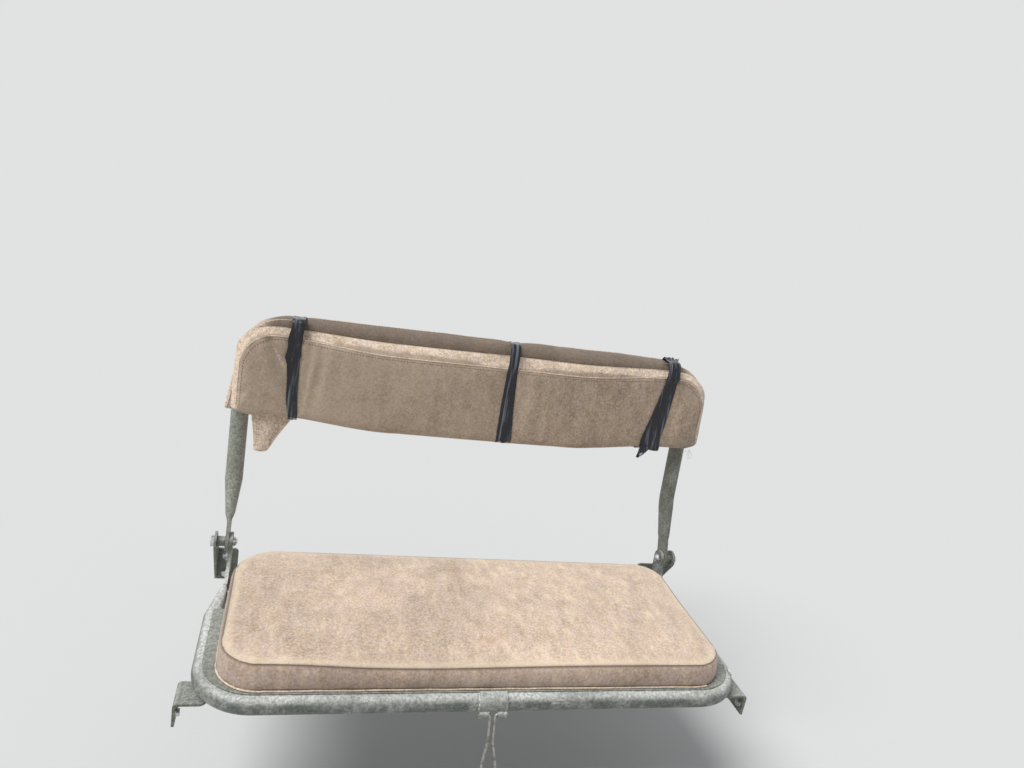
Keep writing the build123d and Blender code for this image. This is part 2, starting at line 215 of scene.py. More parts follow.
def start_group(name, inputs, outputs):
    """A node group with named sockets; returns its tree and its inner ends."""
    tree = bpy.data.node_groups.new(name, "ShaderNodeTree")
    kinds = {"colour": "NodeSocketColor", "number": "NodeSocketFloat"}
    for socket_name, kind in inputs:
        tree.interface.new_socket(socket_name, in_out="INPUT", socket_type=kinds[kind])
    for socket_name, kind in outputs:
        tree.interface.new_socket(socket_name, in_out="OUTPUT", socket_type=kinds[kind])
    return tree, tree.nodes.new("NodeGroupInput"), tree.nodes.new("NodeGroupOutput")


def feed(tree, target, **values):
    """Links each value to the target's input of that name."""
    for name, value in values.items():
        tree.links.new(value, target.inputs[name.replace("_", " ")])


def raise_surface(tree, shader, height, distance):
    """Feeds a height to the shader's normal through a bump."""
    bump = add(tree, "Bump", {"Height": height, "Distance": distance, "Strength": 1.0})
    feed(tree, shader, Normal=bump.outputs["Normal"])

# %% Node group for worn paint
def make_worn_paint():
    tree, source, end = start_group(
        "worn_paint",
        [("Paint", "colour"), ("Faded_and_lit", "colour"), ("Primer", "colour"), ("Rust", "colour"),
         ("Fading_and_light", "number"), ("Chips", "number")],
        [("Color", "colour"), ("Roughness", "number"), ("Height", "number")],
    )
    given = source.outputs
    where = add(tree, "TexCoord")
    place = where.outputs["Object"]
    upward = add(tree, "SeparateXYZ", {0: where.outputs["Normal"]}).outputs["Z"]
    cloud = speckle(tree, place, 9.0, 5.0, 0.6)
    grit = speckle(tree, place, 230.0, 4.0, 0.7)
    blotch = speckle(tree, place, 34.0, 6.0, 0.65)
    scratch = speckle(tree, stretched(tree, place, 11.0, 260.0, 260.0), 1.0, 2.0)
    scrape = speckle(tree, stretched(tree, place, 240.0, 190.0, 14.0), 1.0, 2.0)
    # Up-facing sides turn to the faded colour: dust and fading, and painted light from above as well.
    lit = remap(tree, upward, 0.3, 0.95)
    dusty = reckon(tree, "MULTIPLY", lit, remap(tree, cloud, 0.30, 0.62, 0.45, 1.0))
    dusty = reckon(tree, "MULTIPLY", dusty, given["Fading_and_light"])
    colour = mix(tree, dusty, given["Paint"], given["Faded_and_lit"])
    colour = mix(tree, remap(tree, blotch, 0.42, 0.68, 0.0, 0.35), colour, given["Faded_and_lit"])
    shade = remap(tree, grit, 0.3, 0.7, 0.6, 1.4)
    colour = shaded(tree, colour, shade)
    lines = reckon(tree, "MAXIMUM", remap(tree, scratch, 0.68, 0.74), remap(tree, scrape, 0.69, 0.75))
    lines = reckon(tree, "MULTIPLY", lines, remap(tree, blotch, 0.45, 0.6))
    colour = mix(tree, reckon(tree, "MULTIPLY", lines, 0.7), colour, given["Primer"])
    flake = speckle(tree, place, 95.0, 5.0, 0.72)
    flake = reckon(tree, "ADD", flake, reckon(tree, "MULTIPLY", reckon(tree, "SUBTRACT", blotch, 0.5), 0.5))
    edge = reckon(tree, "SUBTRACT", 0.80, reckon(tree, "MULTIPLY", given["Chips"], 0.13))
    chips = reckon(tree, "GREATER_THAN", flake, edge)
    deep = reckon(tree, "GREATER_THAN", flake, reckon(tree, "ADD", edge, 0.035))
    colour = mix(tree, reckon(tree, "MULTIPLY", chips, 0.8), colour, given["Primer"])
    colour = mix(tree, reckon(tree, "MULTIPLY", deep, 0.85), colour, given["Rust"])
    rough = reckon(tree, "MULTIPLY_ADD", chips, 0.2, remap(tree, cloud, 0.3, 0.7, 0.40, 0.62))
    height = reckon(tree, "MULTIPLY_ADD", chips, -0.6, reckon(tree, "MULTIPLY", grit, 0.5))
    feed(tree, end, Color=colour, Roughness=rough, Height=height)
    return tree


worn_paint = make_worn_paint()


def paint_material(name, paint, faded_and_lit, fading_and_light, chips, depth, right_shaded_paint=None):
    made, tree, shader = start_material(name, Specular_IOR_Level=0.55)
    # The back frame's paint darkens from its left leg to its right one: painted light and shade, for the
    # light comes from the left.
    if right_shaded_paint:
        across = add(tree, "SeparateXYZ", {0: add(tree, "TexCoord").outputs["Object"]}).outputs["X"]
        paint = mix(tree, remap(tree, across, -0.3, 0.3), paint, right_shaded_paint)
    inputs = {"Paint": paint, "Faded_and_lit": faded_and_lit, "Primer": primer_grey, "Rust": rust_brown,
              "Fading_and_light": fading_and_light, "Chips": chips}
    finish = add(tree, "Group", inputs, node_tree=worn_paint)
    feed(tree, shader, Base_Color=finish.outputs["Color"], Roughness=finish.outputs["Roughness"])
    raise_surface(tree, shader, finish.outputs["Height"], depth)
    return made


primer_grey = rgb(0.50, 0.50, 0.44)
rust_brown = rgb(0.17, 0.075, 0.035)
# The darker paint of the back frame's right leg is painted shade.
right_leg_shaded_paint = rgb(0.135, 0.140, 0.116)
# The faded paint is also painted light on upward faces, and the share of fading is also its share.
paint_rows = (  # finish, paint, faded paint, share of fading, share of chips, depth of the grain in mm
    ("seat_frame", (0.105, 0.116, 0.100), (0.53, 0.535, 0.51), 0.95, 0.5, 0.25),
    ("back_frame", (0.235, 0.245, 0.203), (0.33, 0.345, 0.315), 0.6, 0.3, 0.25),
    ("pan", (0.130, 0.140, 0.115), (0.33, 0.34, 0.31), 0.7, 0.7, 0.25),
    ("fittings", (0.135, 0.143, 0.115), (0.33, 0.345, 0.315), 0.8, 0.6, 0.25),
    ("latch", (0.20, 0.21, 0.19), (0.46, 0.47, 0.44), 0.85, 0.9, 2.0),
    ("weld", (0.27, 0.28, 0.25), (0.60, 0.60, 0.55), 1.0, 1.3, 0.8),
)
paints = {}
for name, paint, faded_and_lit, fading_and_light, chips, depth in paint_rows:
    right_shaded_paint = right_leg_shaded_paint if name == "back_frame" else None
    paints[name] = paint_material(
        name + "_paint", rgb(*paint), rgb(*faded_and_lit), fading_and_light, chips, depth * mm, right_shaded_paint)
print("paints:", ", ".join(paints))

# %% [markdown]
# The bolts are zinc plated, and the wire loop has been handled until its paint is gone. Both are bare
# metal under grime, so they share a group that gives a patchy brightness and a patchy roughness.

# %% Node group for bare metal
def make_bare_metal():
    tree, source, end = start_group(
        "bare_metal",
        [("Metal", "colour"), ("Grime", "colour"), ("Dirt", "number")],
        [("Color", "colour"), ("Roughness", "number"), ("Metallic", "number"), ("Height", "number")],
    )
    given = source.outputs
    place = add(tree, "TexCoord").outputs["Object"]
    patch = speckle(tree, place, 120.0, 5.0, 0.65)
    grain = speckle(tree, place, 900.0, 3.0, 0.6)
    edge = reckon(tree, "SUBTRACT", 0.80, reckon(tree, "MULTIPLY", given["Dirt"], 0.42))
    dirty = remap(tree, reckon(tree, "SUBTRACT", patch, edge), -0.06, 0.10)
    shade = remap(tree, grain, 0.3, 0.7, 0.85, 1.12)
    metal = shaded(tree, given["Metal"], shade)
    colour = mix(tree, dirty, metal, given["Grime"])
    rough = reckon(tree, "MULTIPLY_ADD", dirty, 0.35, remap(tree, grain, 0.3, 0.7, 0.26, 0.40))
    bare = remap(tree, dirty, 0.0, 1.0, 0.95, 0.15)
    height = reckon(tree, "ADD", reckon(tree, "MULTIPLY", grain, 0.3), reckon(tree, "MULTIPLY", dirty, 0.5))
    feed(tree, end, Color=colour, Roughness=rough, Metallic=bare, Height=height)
    return tree


bare_metal = make_bare_metal()


def metal_material(name, metal, grime, dirt):
    made, tree, shader = start_material(name)
    finish = add(tree, "Group", {"Metal": metal, "Grime": grime, "Dirt": dirt}, node_tree=bare_metal)
    feed(tree, shader, Base_Color=finish.outputs["Color"], Roughness=finish.outputs["Roughness"],
         Metallic=finish.outputs["Metallic"])
    raise_surface(tree, shader, finish.outputs["Height"], 0.12 * mm)
    return made


zinc = metal_material("zinc_steel", rgb(0.60, 0.61, 0.62), rgb(0.16, 0.14, 0.11), 0.55)
wire_steel = metal_material("wire_steel", rgb(0.42, 0.42, 0.39), rgb(0.17, 0.16, 0.125), 0.60)
print("bare metals:", zinc.name, "and", wire_steel.name)

# %% [markdown]
# Canvas is a plain weave of thick threads: each thread goes over one and under the next. The product
# of two sine waves has that pattern of bumps, and taking the pair of axes that lies in the surface
# keeps it from smearing on the sides. Sun and use bleach the cloth in clouds and short rubs, and dirt
# darkens it. Masks for the painted shade in the seams and hollows, the painted light on the pad's left
# end, the stains and the worn edges are stored on each mesh by its maker.

# %% Node group for canvas
def make_canvas_weave():
    tree, source, end = start_group(
        "canvas_weave",
        [("Cloth", "colour"), ("Rubbed", "colour"), ("Soiled", "colour"), ("Wear", "number"),
         ("Soil", "number"), ("Grain", "number"), ("Pitch", "number")],
        [("Color", "colour"), ("Roughness", "number"), ("Height", "number")],
    )
    given = source.outputs
    where = add(tree, "TexCoord")
    place = where.outputs["Object"]
    facing = add(tree, "SeparateXYZ", {0: where.outputs["Normal"]})
    wander = add(tree, "TexNoise", {"Vector": place, "Scale": 40.0, "Detail": 2.0}).outputs["Color"]
    wander = add(tree, "VectorMath", {0: wander, 1: (0.5, 0.5, 0.5)}, operation="SUBTRACT").outputs[0]
    wander = add(tree, "VectorMath", {0: wander, "Scale": 0.004}, operation="SCALE").outputs[0]
    threads = add(tree, "VectorMath", {0: place, 1: wander}, operation="ADD").outputs[0]
    turns = reckon(tree, "DIVIDE", 2 * pi, given["Pitch"])
    threads = add(tree, "VectorMath", {0: threads, "Scale": turns}, operation="SCALE").outputs[0]
    split = add(tree, "SeparateXYZ", {0: threads})
    waves = {axis: reckon(tree, "SINE", split.outputs[axis]) for axis in "XYZ"}
    weave = 0.0
    for normal_axis, first, second in (("Z", "X", "Y"), ("Y", "X", "Z"), ("X", "Y", "Z")):
        lies = reckon(tree, "POWER", facing.outputs[normal_axis], 2.0)
        crossing = reckon(tree, "MULTIPLY", waves[first], waves[second])
        weave = reckon(tree, "MULTIPLY_ADD", crossing, lies, weave)
    cloud = speckle(tree, place, 7.0, 5.0, 0.6)
    mottle = speckle(tree, place, 55.0, 5.0, 0.7)
    fleck = speckle(tree, place, 260.0, 3.0, 0.75)
    rub_place = stretched(tree, place, 1.0, 0.45, 0.6)
    rub = speckle(tree, rub_place, 46.0, 7.0, 0.72)
    drag = speckle(tree, stretched(tree, place, 60.0, 22.0, 9.0), 1.0, 3.0)
    shade = reckon(tree, "MULTIPLY", remap(tree, fleck, 0.3, 0.7, -1.0, 1.0), given["Grain"])
    for pattern, strength in ((mottle, 0.08), (cloud, 0.13), (drag, 0.06)):
        shade = reckon(tree, "ADD", shade, remap(tree, pattern, 0.35, 0.65, -strength, strength))
    shade = reckon(tree, "MULTIPLY_ADD", weave, 0.15, shade)
    shade = reckon(tree, "ADD", shade, 1.0)
    colour = shaded(tree, given["Cloth"], shade)
    drift = mix(tree, remap(tree, mottle, 0.35, 0.65), rgb(1.03, 1.0, 0.94), rgb(0.98, 0.985, 1.05))
    colour = mix(tree, 1.0, colour, drift, "MULTIPLY")
    often = remap(tree, cloud, 0.35, 0.6, 0.3, 1.0)
    bleached = reckon(tree, "MULTIPLY", remap(tree, rub, 0.52, 0.68), often)
    colour = mix(tree, reckon(tree, "MULTIPLY", bleached, given["Wear"]), colour, given["Rubbed"])
    grime = reckon(tree, "MULTIPLY", remap(tree, mottle, 0.52, 0.72), remap(tree, cloud, 0.62, 0.42))
    colour = mix(tree, reckon(tree, "MULTIPLY", grime, given["Soil"]), colour, given["Soiled"])
    rough = remap(tree, fleck, 0.2, 0.8, 0.86, 0.97)
    height = reckon(tree, "MULTIPLY_ADD", weave, 0.5, fleck)
    feed(tree, end, Color=colour, Roughness=rough, Height=height)
    return tree


canvas_weave = make_canvas_weave()
thread_pitch = 1.15 * mm
shade_and_dirt_brown = rgb(0.105, 0.075, 0.055)
stain_brown = rgb(0.46, 0.25, 0.10)


def canvas_material(name, cloths, wears, pale_wear_and_light, soiled, soil, grain):
    """The two cloths and wears are for the main panels, and for those that a mask picks out."""
    made, tree, shader = start_material(
        name, Sheen_Weight=0.25, Sheen_Roughness=0.6, Specular_IOR_Level=0.25)
    masks = {mask: add(tree, "Attribute", attribute_name=mask).outputs["Fac"]
             for mask in ("second_cloth", "shade", "pale_wear_and_light", "stain")}
    inputs = {
        "Cloth": mix(tree, masks["second_cloth"], *cloths),
        "Rubbed": pale_wear_and_light,
        "Soiled": soiled,
        "Wear": remap(tree, masks["second_cloth"], 0.0, 1.0, *wears),
        "Soil": soil,
        "Grain": grain,
        "Pitch": thread_pitch,
    }
    finish = add(tree, "Group", inputs, node_tree=canvas_weave)
    colour = finish.outputs["Color"]
    # The shade mask mixes in painted shade, with some dirt; the pale mask mixes in wear, and on the pad
    # painted light.
    for mask, tint in (("shade", shade_and_dirt_brown), ("pale_wear_and_light", pale_wear_and_light), ("stain", stain_brown)):
        colour = mix(tree, masks[mask], colour, tint)
    feed(tree, shader, Base_Color=colour, Roughness=finish.outputs["Roughness"])
    raise_surface(tree, shader, finish.outputs["Height"], 0.22 * mm)
    return made


# The boxing and the pad are the same canvas as the top and the gusset; their darker cloths are painted
# shade on faces that stand upright, away from the light from above.
top_cloth, boxing_cloth_shaded = rgb(0.60, 0.465, 0.355), rgb(0.392, 0.296, 0.230)
pad_cloth_shaded, gusset_cloth = rgb(0.342, 0.264, 0.196), rgb(0.61, 0.49, 0.378)
# The pale colour serves both worn rubs and, on the pad, painted light.
canvas_rows = (  # finish, its two cloths, their wears, rubbed colour, soiled colour, share of soil, grain
    ("seat", top_cloth, boxing_cloth_shaded, (0.85, 0.3), (0.84, 0.69, 0.50), (0.36, 0.25, 0.19), 0.45, 0.26),
    ("back", pad_cloth_shaded, gusset_cloth, (0.4, 0.4), (0.56, 0.45, 0.34), (0.20, 0.145, 0.105), 0.22, 0.34),
    ("hem", gusset_cloth, gusset_cloth, (0.5, 0.5), (0.76, 0.63, 0.49), (0.24, 0.175, 0.125), 0.25, 0.28),
)
seat_canvas, back_canvas, hem_canvas = (
    canvas_material(name + "_canvas", cloths, wears, rgb(*pale_wear_and_light), rgb(*soiled), soil, grain)
    for name, *cloths, wears, pale_wear_and_light, soiled, soil, grain in canvas_rows
)
print("canvas:", len(canvas_rows), "finishes")

# %% [markdown]
# The three bands are black plastic tape, wound on by hand and gone dusty. Its gloss comes and goes
# along lengthwise creases, which run round the pad, so the noise is stretched in the two directions
# across the seat's width. Pale streaks painted along the creases stand in for the highlights of that
# gloss.

# %% Tape and thread finishes
def make_tape_finish():
    made, tree, shader = start_material(
        "black_tape", Specular_IOR_Level=0.35, Coat_Weight=0.2, Coat_Roughness=0.12)
    place = add(tree, "TexCoord").outputs["Object"]
    crease = speckle(tree, stretched(tree, place, 210.0, 12.0, 12.0), 1.0, 3.0, 0.5)
    dusty = speckle(tree, stretched(tree, place, 160.0, 30.0, 30.0), 1.0, 6.0, 0.7)
    dust = reckon(tree, "MULTIPLY", remap(tree, dusty, 0.57, 0.76), 0.35)
    # Painted highlight: the creases turn from black to a pale blue grey.
    tint = mix(tree, remap(tree, crease, 0.50, 0.70), rgb(0.007, 0.008, 0.012), rgb(0.13, 0.145, 0.18))
    rough = reckon(tree, "MULTIPLY_ADD", dust, 0.5, remap(tree, crease, 0.35, 0.65, 0.16, 0.32))
    feed(tree, shader, Base_Color=mix(tree, dust, tint, rgb(0.24, 0.26, 0.31)), Roughness=rough)
    raise_surface(tree, shader, crease, 1.2 * mm)
    return made


def make_thread_finish(name, colour):
    made, tree, shader = start_material(name, Roughness=0.85)
    place = add(tree, "TexCoord").outputs["Object"]
    shade = remap(tree, speckle(tree, place, 700.0), 0.3, 0.7, 0.65, 1.35)
    feed(tree, shader, Base_Color=shaded(tree, colour, shade))
    return made


tape_black = make_tape_finish()
# The stitches are real thread, and their dark colour is partly painted shade from the shadows they cast.
thread_dark_shaded = make_thread_finish("thread_dark_shaded", rgb(0.085, 0.058, 0.042))
thread_pale = make_thread_finish("thread_pale", rgb(0.60, 0.52, 0.40))
print("tape and threads:", tape_black.name, thread_dark_shaded.name, thread_pale.name)

# %% [markdown]
# The pieces from the CAD model keep their shape, for a bent tube or a pressed plate needs nothing but
# its surface. A table by name gives them their finishes, and the fittings that aren't in it share one
# olive paint.

# %% Finish the CAD pieces
finish_of = {
    "seat_frame": paints["seat_frame"],
    "back_frame": paints["back_frame"],
    "seat_pan": paints["pan"],
    "rear_rail": paints["pan"],
    "latch_plate": paints["latch"],
    "latch_wire": wire_steel,
    "pivot_bolt_left": zinc,
    "pivot_bolt_right": zinc,
}
for name, node in nodes.items():
    node.data.materials.clear()
    node.data.materials.append(finish_of.get(name, paints["fittings"]))
print("finished", len(nodes), "nodes")

# %% [markdown]
# The soft pieces share their making. A rough form is cut with the mesh operators, made an even grid
# by a voxel remesh, and blown up a little by the cloth solver, as the filling does to the real cover.
# The solver moves the grid freely, so each point's way is limited afterwards.

# %% Helpers for new pieces
def new_piece(name, form, material, smooth=True):
    """Turns a bmesh into an object of the scene, and frees the bmesh."""
    data = bpy.data.meshes.new(name)
    form.to_mesh(data)
    form.free()
    data.materials.append(material)
    if smooth:
        data.shade_smooth()
    piece = bpy.data.objects.new(name, data)
    bpy.context.scene.collection.objects.link(piece)
    return piece


def bake_modifiers(piece):
    """Replaces the piece's mesh by what its modifiers make of it."""
    graph = bpy.context.evaluated_depsgraph_get()
    data = bpy.data.meshes.new_from_object(piece.evaluated_get(graph), depsgraph=graph)
    piece.modifiers.clear()
    piece.data = data
    data.shade_smooth()


def even_grid(piece, cell):
    remesh = piece.modifiers.new("even grid", "REMESH")
    remesh.mode = "VOXEL"
    remesh.voxel_size = cell
    bake_modifiers(piece)


def divide_once(piece):
    divide = piece.modifiers.new("divide", "SUBSURF")
    divide.levels = divide.render_levels = 1
    bake_modifiers(piece)


def thicken(piece, thickness, offset=-1.0):
    """Gives a thin sheet a wall, inside it at -1, outside it at 1."""
    wall = piece.modifiers.new("wall", "SOLIDIFY")
    wall.thickness = thickness
    wall.offset = offset
    bake_modifiers(piece)
    return piece

# %% Blow a piece up with the cloth solver
filling_pressure = 4.0
solver_frames = 20


def inflate(piece, held, cap):
    """Puffs the piece up with the cloth solver; the points with the held numbers stay in place."""
    start = [point.co.copy() for point in piece.data.vertices]
    group = piece.vertex_groups.new(name="held")
    group.add(held, 1.0, "REPLACE")
    cloth = piece.modifiers.new("cloth", "CLOTH")
    cloth.settings.quality = 5
    cloth.settings.use_pressure = True
    cloth.settings.uniform_pressure_force = filling_pressure
    cloth.settings.effector_weights.gravity = 0
    cloth.settings.vertex_group_mass = "held"
    cloth.collision_settings.use_collision = False
    for frame_number in range(1, solver_frames + 1):
        bpy.context.scene.frame_set(frame_number)
    bake_modifiers(piece)
    bpy.context.scene.frame_set(1)
    furthest = 0.0
    for point, first in zip(piece.data.vertices, start):
        way = point.co - first
        furthest = max(furthest, way.length)
        if way.length > 0:
            point.co = first + way * (cap * tanh(way.length / cap) / way.length)
    piece.vertex_groups.clear()
    print(piece.name, "moved up to", round(furthest * 1000, 1), "mm, kept within", round(cap * 1000, 1))

# %% Helpers for measures and masks
def ease(value, low, high):
    """0 below low, 1 above high, and a smooth rise between."""
    share = min(1.0, max(0.0, (value - low) / (high - low)))
    return share * share * (3 - 2 * share)


def hill(value, middle, width):
    return exp(-((value - middle) / width) ** 2)


def paint_mask(piece, name, measure):
    """Stores a number for each point of the mesh, for a material to read."""
    mask = piece.data.attributes.new(name, "FLOAT", "POINT")
    mask.data.foreach_set("value", [measure(point.co) for point in piece.data.vertices])

# %% [markdown]
# The seat cushion is a box cushion: a top panel and a bottom panel sewn to a side wall, which sewers
# call boxing, over a slab of filling. The filling crowns the top, and the boxing leans out towards its
# foot, because the bottom panel lies flat and the top one is drawn in over the filling. A cube with
# its upright edges rounded is the cut pattern, and the solver makes it look filled.

# %% Cut the seat cushion
cushion_low, cushion_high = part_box("seat_cushion")
boxing_height = 35 * mm
cushion_crown = 7 * mm
cushion_corners = {  # radius of each corner in plan, by its side and end
    ("left", "front"): 62 * mm,
    ("right", "front"): 62 * mm,
    ("right", "rear"): 58 * mm,
    ("left", "rear"): 84 * mm,
}
cushion_cell = 5.5 * mm
cushion_swell = 6 * mm
cushion_leans = {  # how far the boxing's foot and its seam stand out from the plain cut, side by side
    "left": (1 * mm, -1 * mm),
    "right": (7 * mm, 5 * mm),
    "front": (8 * mm, 1 * mm),
    "rear": (1 * mm, -4 * mm),
}
cushion_middle = (cushion_low + cushion_high) / 2
cushion_half = (cushion_high - cushion_low) / 2
seam_height = cushion_low.z + boxing_height


def cut_cushion():
    form = bmesh.new()
    bmesh.ops.create_cube(form, size=1.0)
    size = (2 * cushion_half.x, 2 * cushion_half.y, boxing_height + 2 * mm)
    middle = (cushion_middle.x, cushion_middle.y, cushion_low.z + boxing_height / 2 + 1 * mm)
    bmesh.ops.scale(form, verts=form.verts, vec=size)
    bmesh.ops.translate(form, verts=form.verts, vec=middle)
    for (side, end), radius in cushion_corners.items():
        chosen = [
            edge for edge in form.edges
            if all((vert.co.x > middle[0]) == (side == "right") for vert in edge.verts)
            and all((vert.co.y > middle[1]) == (end == "rear") for vert in edge.verts)
            and abs(edge.verts[0].co.z - edge.verts[1].co.z) > boxing_height / 2
        ]
        bmesh.ops.bevel(form, geom=chosen, offset=radius, offset_type="OFFSET", segments=10, profile=0.5,
                        affect="EDGES", material=-1)
    return new_piece("seat_cushion_cover", form, seat_canvas)


def inset(place):
    """How far a place lies inside the outline of the plain cut, seen from above."""
    side = "right" if place.x > cushion_middle.x else "left"
    end = "rear" if place.y > cushion_middle.y else "front"
    radius = cushion_corners[side, end]
    across = cushion_half.x - abs(place.x - cushion_middle.x)
    along = cushion_half.y - abs(place.y - cushion_middle.y)
    if across < radius and along < radius:
        return radius - hypot(radius - across, radius - along)
    return min(across, along)


def shape_cushion(place):
    """Crowns the top and leans the boxing: where a point of the plain cut goes."""
    across = (place.x - cushion_middle.x) / cushion_half.x
    along = (place.y - cushion_middle.y) / cushion_half.y
    height = min(1.0, max(0.0, (place.z - cushion_low.z) / boxing_height))
    sides = ((across, "right" if across > 0 else "left"), (along, "rear" if along > 0 else "front"))
    shift = []
    for share, side in sides:
        foot, seam = cushion_leans[side]
        shift.append(share * (foot + (seam - foot) * height ** 1.7))
    rise = cushion_crown * ease(height, 0, 1) * (1 - across ** 4) * (1 - abs(along) ** 2.6)
    return place + Vector((*shift, rise))


cushion = cut_cushion()
even_grid(cushion, cushion_cell)
sewn = [
    point.index for point in cushion.data.vertices
    if point.co.z < cushion_low.z + 2 * mm or inset(point.co) < 4 * mm and point.co.z > seam_height - 3 * mm
]
for point in cushion.data.vertices:
    point.co = shape_cushion(point.co)
inflate(cushion, sewn, cushion_swell)
divide_once(cushion)
print("cushion:", len(cushion.data.vertices), "points")

# %% [markdown]
# Years of sitting have left short pleats in the top panel along its rear edge, and shallow dents
# between them. A solver would put them anywhere, so these are pressed in one by one where the
# photograph has them: each is a narrow ridge that fades towards the middle of the seat.

# %% Press in the pleats and dents
pleats = (  # place across, length, depth, lean
    (-214, 60, 1.3, 0.10),
    (-196, 42, 0.9, 0.15),
    (-40, 70, 1.0, -0.05),
    (-16, 85, 1.5, 0.05),
    (10, 62, 1.1, 0.10),
    (38, 95, 1.6, 0.02),
    (66, 60, 1.1, -0.10),
    (98, 105, 1.5, 0.05),
    (124, 70, 1.2, -0.05),
    (150, 55, 0.9, 0.10),
    (188, 80, 1.1, 0.00),
    (232, 50, 0.8, 0.10),
    (300, 60, 0.9, -0.15),
)
dents = (  # place across, place along from the front, radius, depth
    (-150, 120, 95, 2.0),
    (120, 150, 120, 2.6),
    (290, 110, 80, 1.4),
    (-320, 190, 70, 1.2),
    (20, 60, 60, 1.0),
)
pleat_width = 5.5 * mm


def press_top(point):
    """How far the top panel is pushed in at a point."""
    from_rear = cushion_high.y - point.y
    from_front = point.y - cushion_low.y
    depth = 0.0
    for across, length, deep, lean in pleats:
        fold = hill(point.x, (across + lean * from_rear / mm) * mm, pleat_width)
        depth += deep * mm * fold * ease(from_rear, 8 * mm, 24 * mm) * hill(from_rear, 12 * mm, length * mm)
    for across, along, radius, deep in dents:
        away = sqrt((point.x - across * mm) ** 2 + (from_front - along * mm) ** 2)
        depth += deep * mm * hill(away, 0, radius * mm)
    ripple = noise.noise(Vector((point.x * 21, point.y * 13, 3.1)))
    crease = abs(noise.noise(Vector((point.x * 46, point.y * 60, 7.7))))
    return depth + 0.9 * mm * ripple - 0.6 * mm * crease


for point in cushion.data.vertices:
    topness = ease(point.co.z, seam_height - 4 * mm, seam_height + 4 * mm)
    point.co.z -= press_top(point.co) * topness * ease(inset(point.co), 10 * mm, 30 * mm)
    point.co.z = max(point.co.z, cushion_low.z + 0.6 * mm)
print("pleats:", len(pleats), "dents:", len(dents))

# %% [markdown]
# The seam between top and boxing runs right round the cushion at one height. The solver's grid is too
# coarse for a seam, so the cover is cut by a level plane there, which leaves an edge loop, and cut
# again just above and below it. The middle loop is drawn in and the upper one is let out, as the
# folded edge of the top panel stands out over its stitching.

# %% Sew the top seam
seam_reach, seam_lip, seam_groove = 1.3 * mm, 1.1 * mm, 2.0 * mm


def sew_level(piece, place):
    """Cuts level loops round the piece at the place; the middle one goes in, and the one above it out."""
    form = bmesh.new()
    form.from_mesh(piece.data)
    up = Vector((0, 0, 1))
    for step in (-1, 0, 1, 2):
        bmesh.ops.bisect_plane(form, geom=form.verts[:] + form.edges[:] + form.faces[:], dist=0.02 * mm,
                               plane_co=place + up * seam_reach * step, plane_no=up)
    form.normal_update()
    moves = []
    for point in form.verts:
        level = (point.co - place).dot(up)
        outward = point.normal - up * point.normal.dot(up)
        if abs(level) > seam_reach * 2.2 or outward.length < 0.2:
            continue
        move = seam_lip * hill(level, seam_reach, seam_reach * 0.75)
        move -= seam_groove * hill(level, 0, seam_reach * 0.45)
        moves.append((point, outward.normalized() * move))
    for point, move in moves:
        point.co += move
    bmesh.ops.triangulate(form, faces=[face for face in form.faces if len(face.verts) > 4])
    form.to_mesh(piece.data)
    form.free()
    piece.data.shade_smooth()


sew_level(cushion, Vector((0, 0, seam_height)))
print("top seam at", round(seam_height * 1000, 1), "mm")

# %% [markdown]
# The seam's groove and the foot of the cushion get painted shade, a darker band runs along the top's
# front edge, the seam's folded edge is rubbed pale, and something has dripped on the front of the seat.
# A painted picture would need an unwrap of the cover. Numbers stored on the points of the mesh don't,
# and the divided grid is fine enough to hold them.

# %% Paint the seam, the rubs and the stains
stains = (  # place across, place along from the front, radius, strength
    (-5, 60, 8, 0.50), (19, 71, 6, 0.45), (8, 64, 4, 0.30), (-24, 263, 13, 0.35), (150, 210, 5, 0.20),
    (-235, 90, 5, 0.15), (340, 271, 5, 0.35),
)


def stain_mask(place):
    total = 0.0
    for across, along, radius, strength in stains:
        away = sqrt((place.x - across * mm) ** 2 + (place.y - cushion_low.y - along * mm) ** 2)
        ragged = 1 + 0.5 * noise.noise(place * 160)
        total += strength * hill(away, 0, radius * mm * ragged)
    return min(1.0, total) * ease(place.z, seam_height, seam_height + 3 * mm)


def seam_shade(place):
    # Painted shade in the seam's groove and at the cushion's foot, and a darker band along the top's front
    # edge.
    groove = 0.85 * hill(place.z, seam_height, 1.1 * mm)
    under = 0.25 * hill(place.z, cushion_low.z, 5 * mm)
    front_band = 0.22 * hill(place.y, cushion_low.y + 12 * mm, 9 * mm) * hill(place.x, -95 * mm, 90 * mm)
    return min(1.0, groove + under + front_band * ease(place.z, seam_height, seam_height + 2 * mm))


paint_mask(cushion, "stain", stain_mask)
paint_mask(cushion, "shade", seam_shade)
paint_mask(cushion, "pale_wear_and_light", lambda place: 0.45 * hill(place.z, seam_height + 1.8 * mm, 1.2 * mm))
# The boxing takes the second, darker cloth, which is painted shade.
paint_mask(cushion, "second_cloth",
           lambda place: 1 - ease(place.z, seam_height - 0.4 * mm, seam_height + 0.4 * mm))
print("stains:", len(stains))

# %% [markdown]
# Where people slide off the seat, left of the middle, the front edge has sunk and crept forward a few
# millimetres. The filling has gone to the rear edge and the left corner, which stand higher. All this
# comes last, so that the seam and its marks move with the cloth.

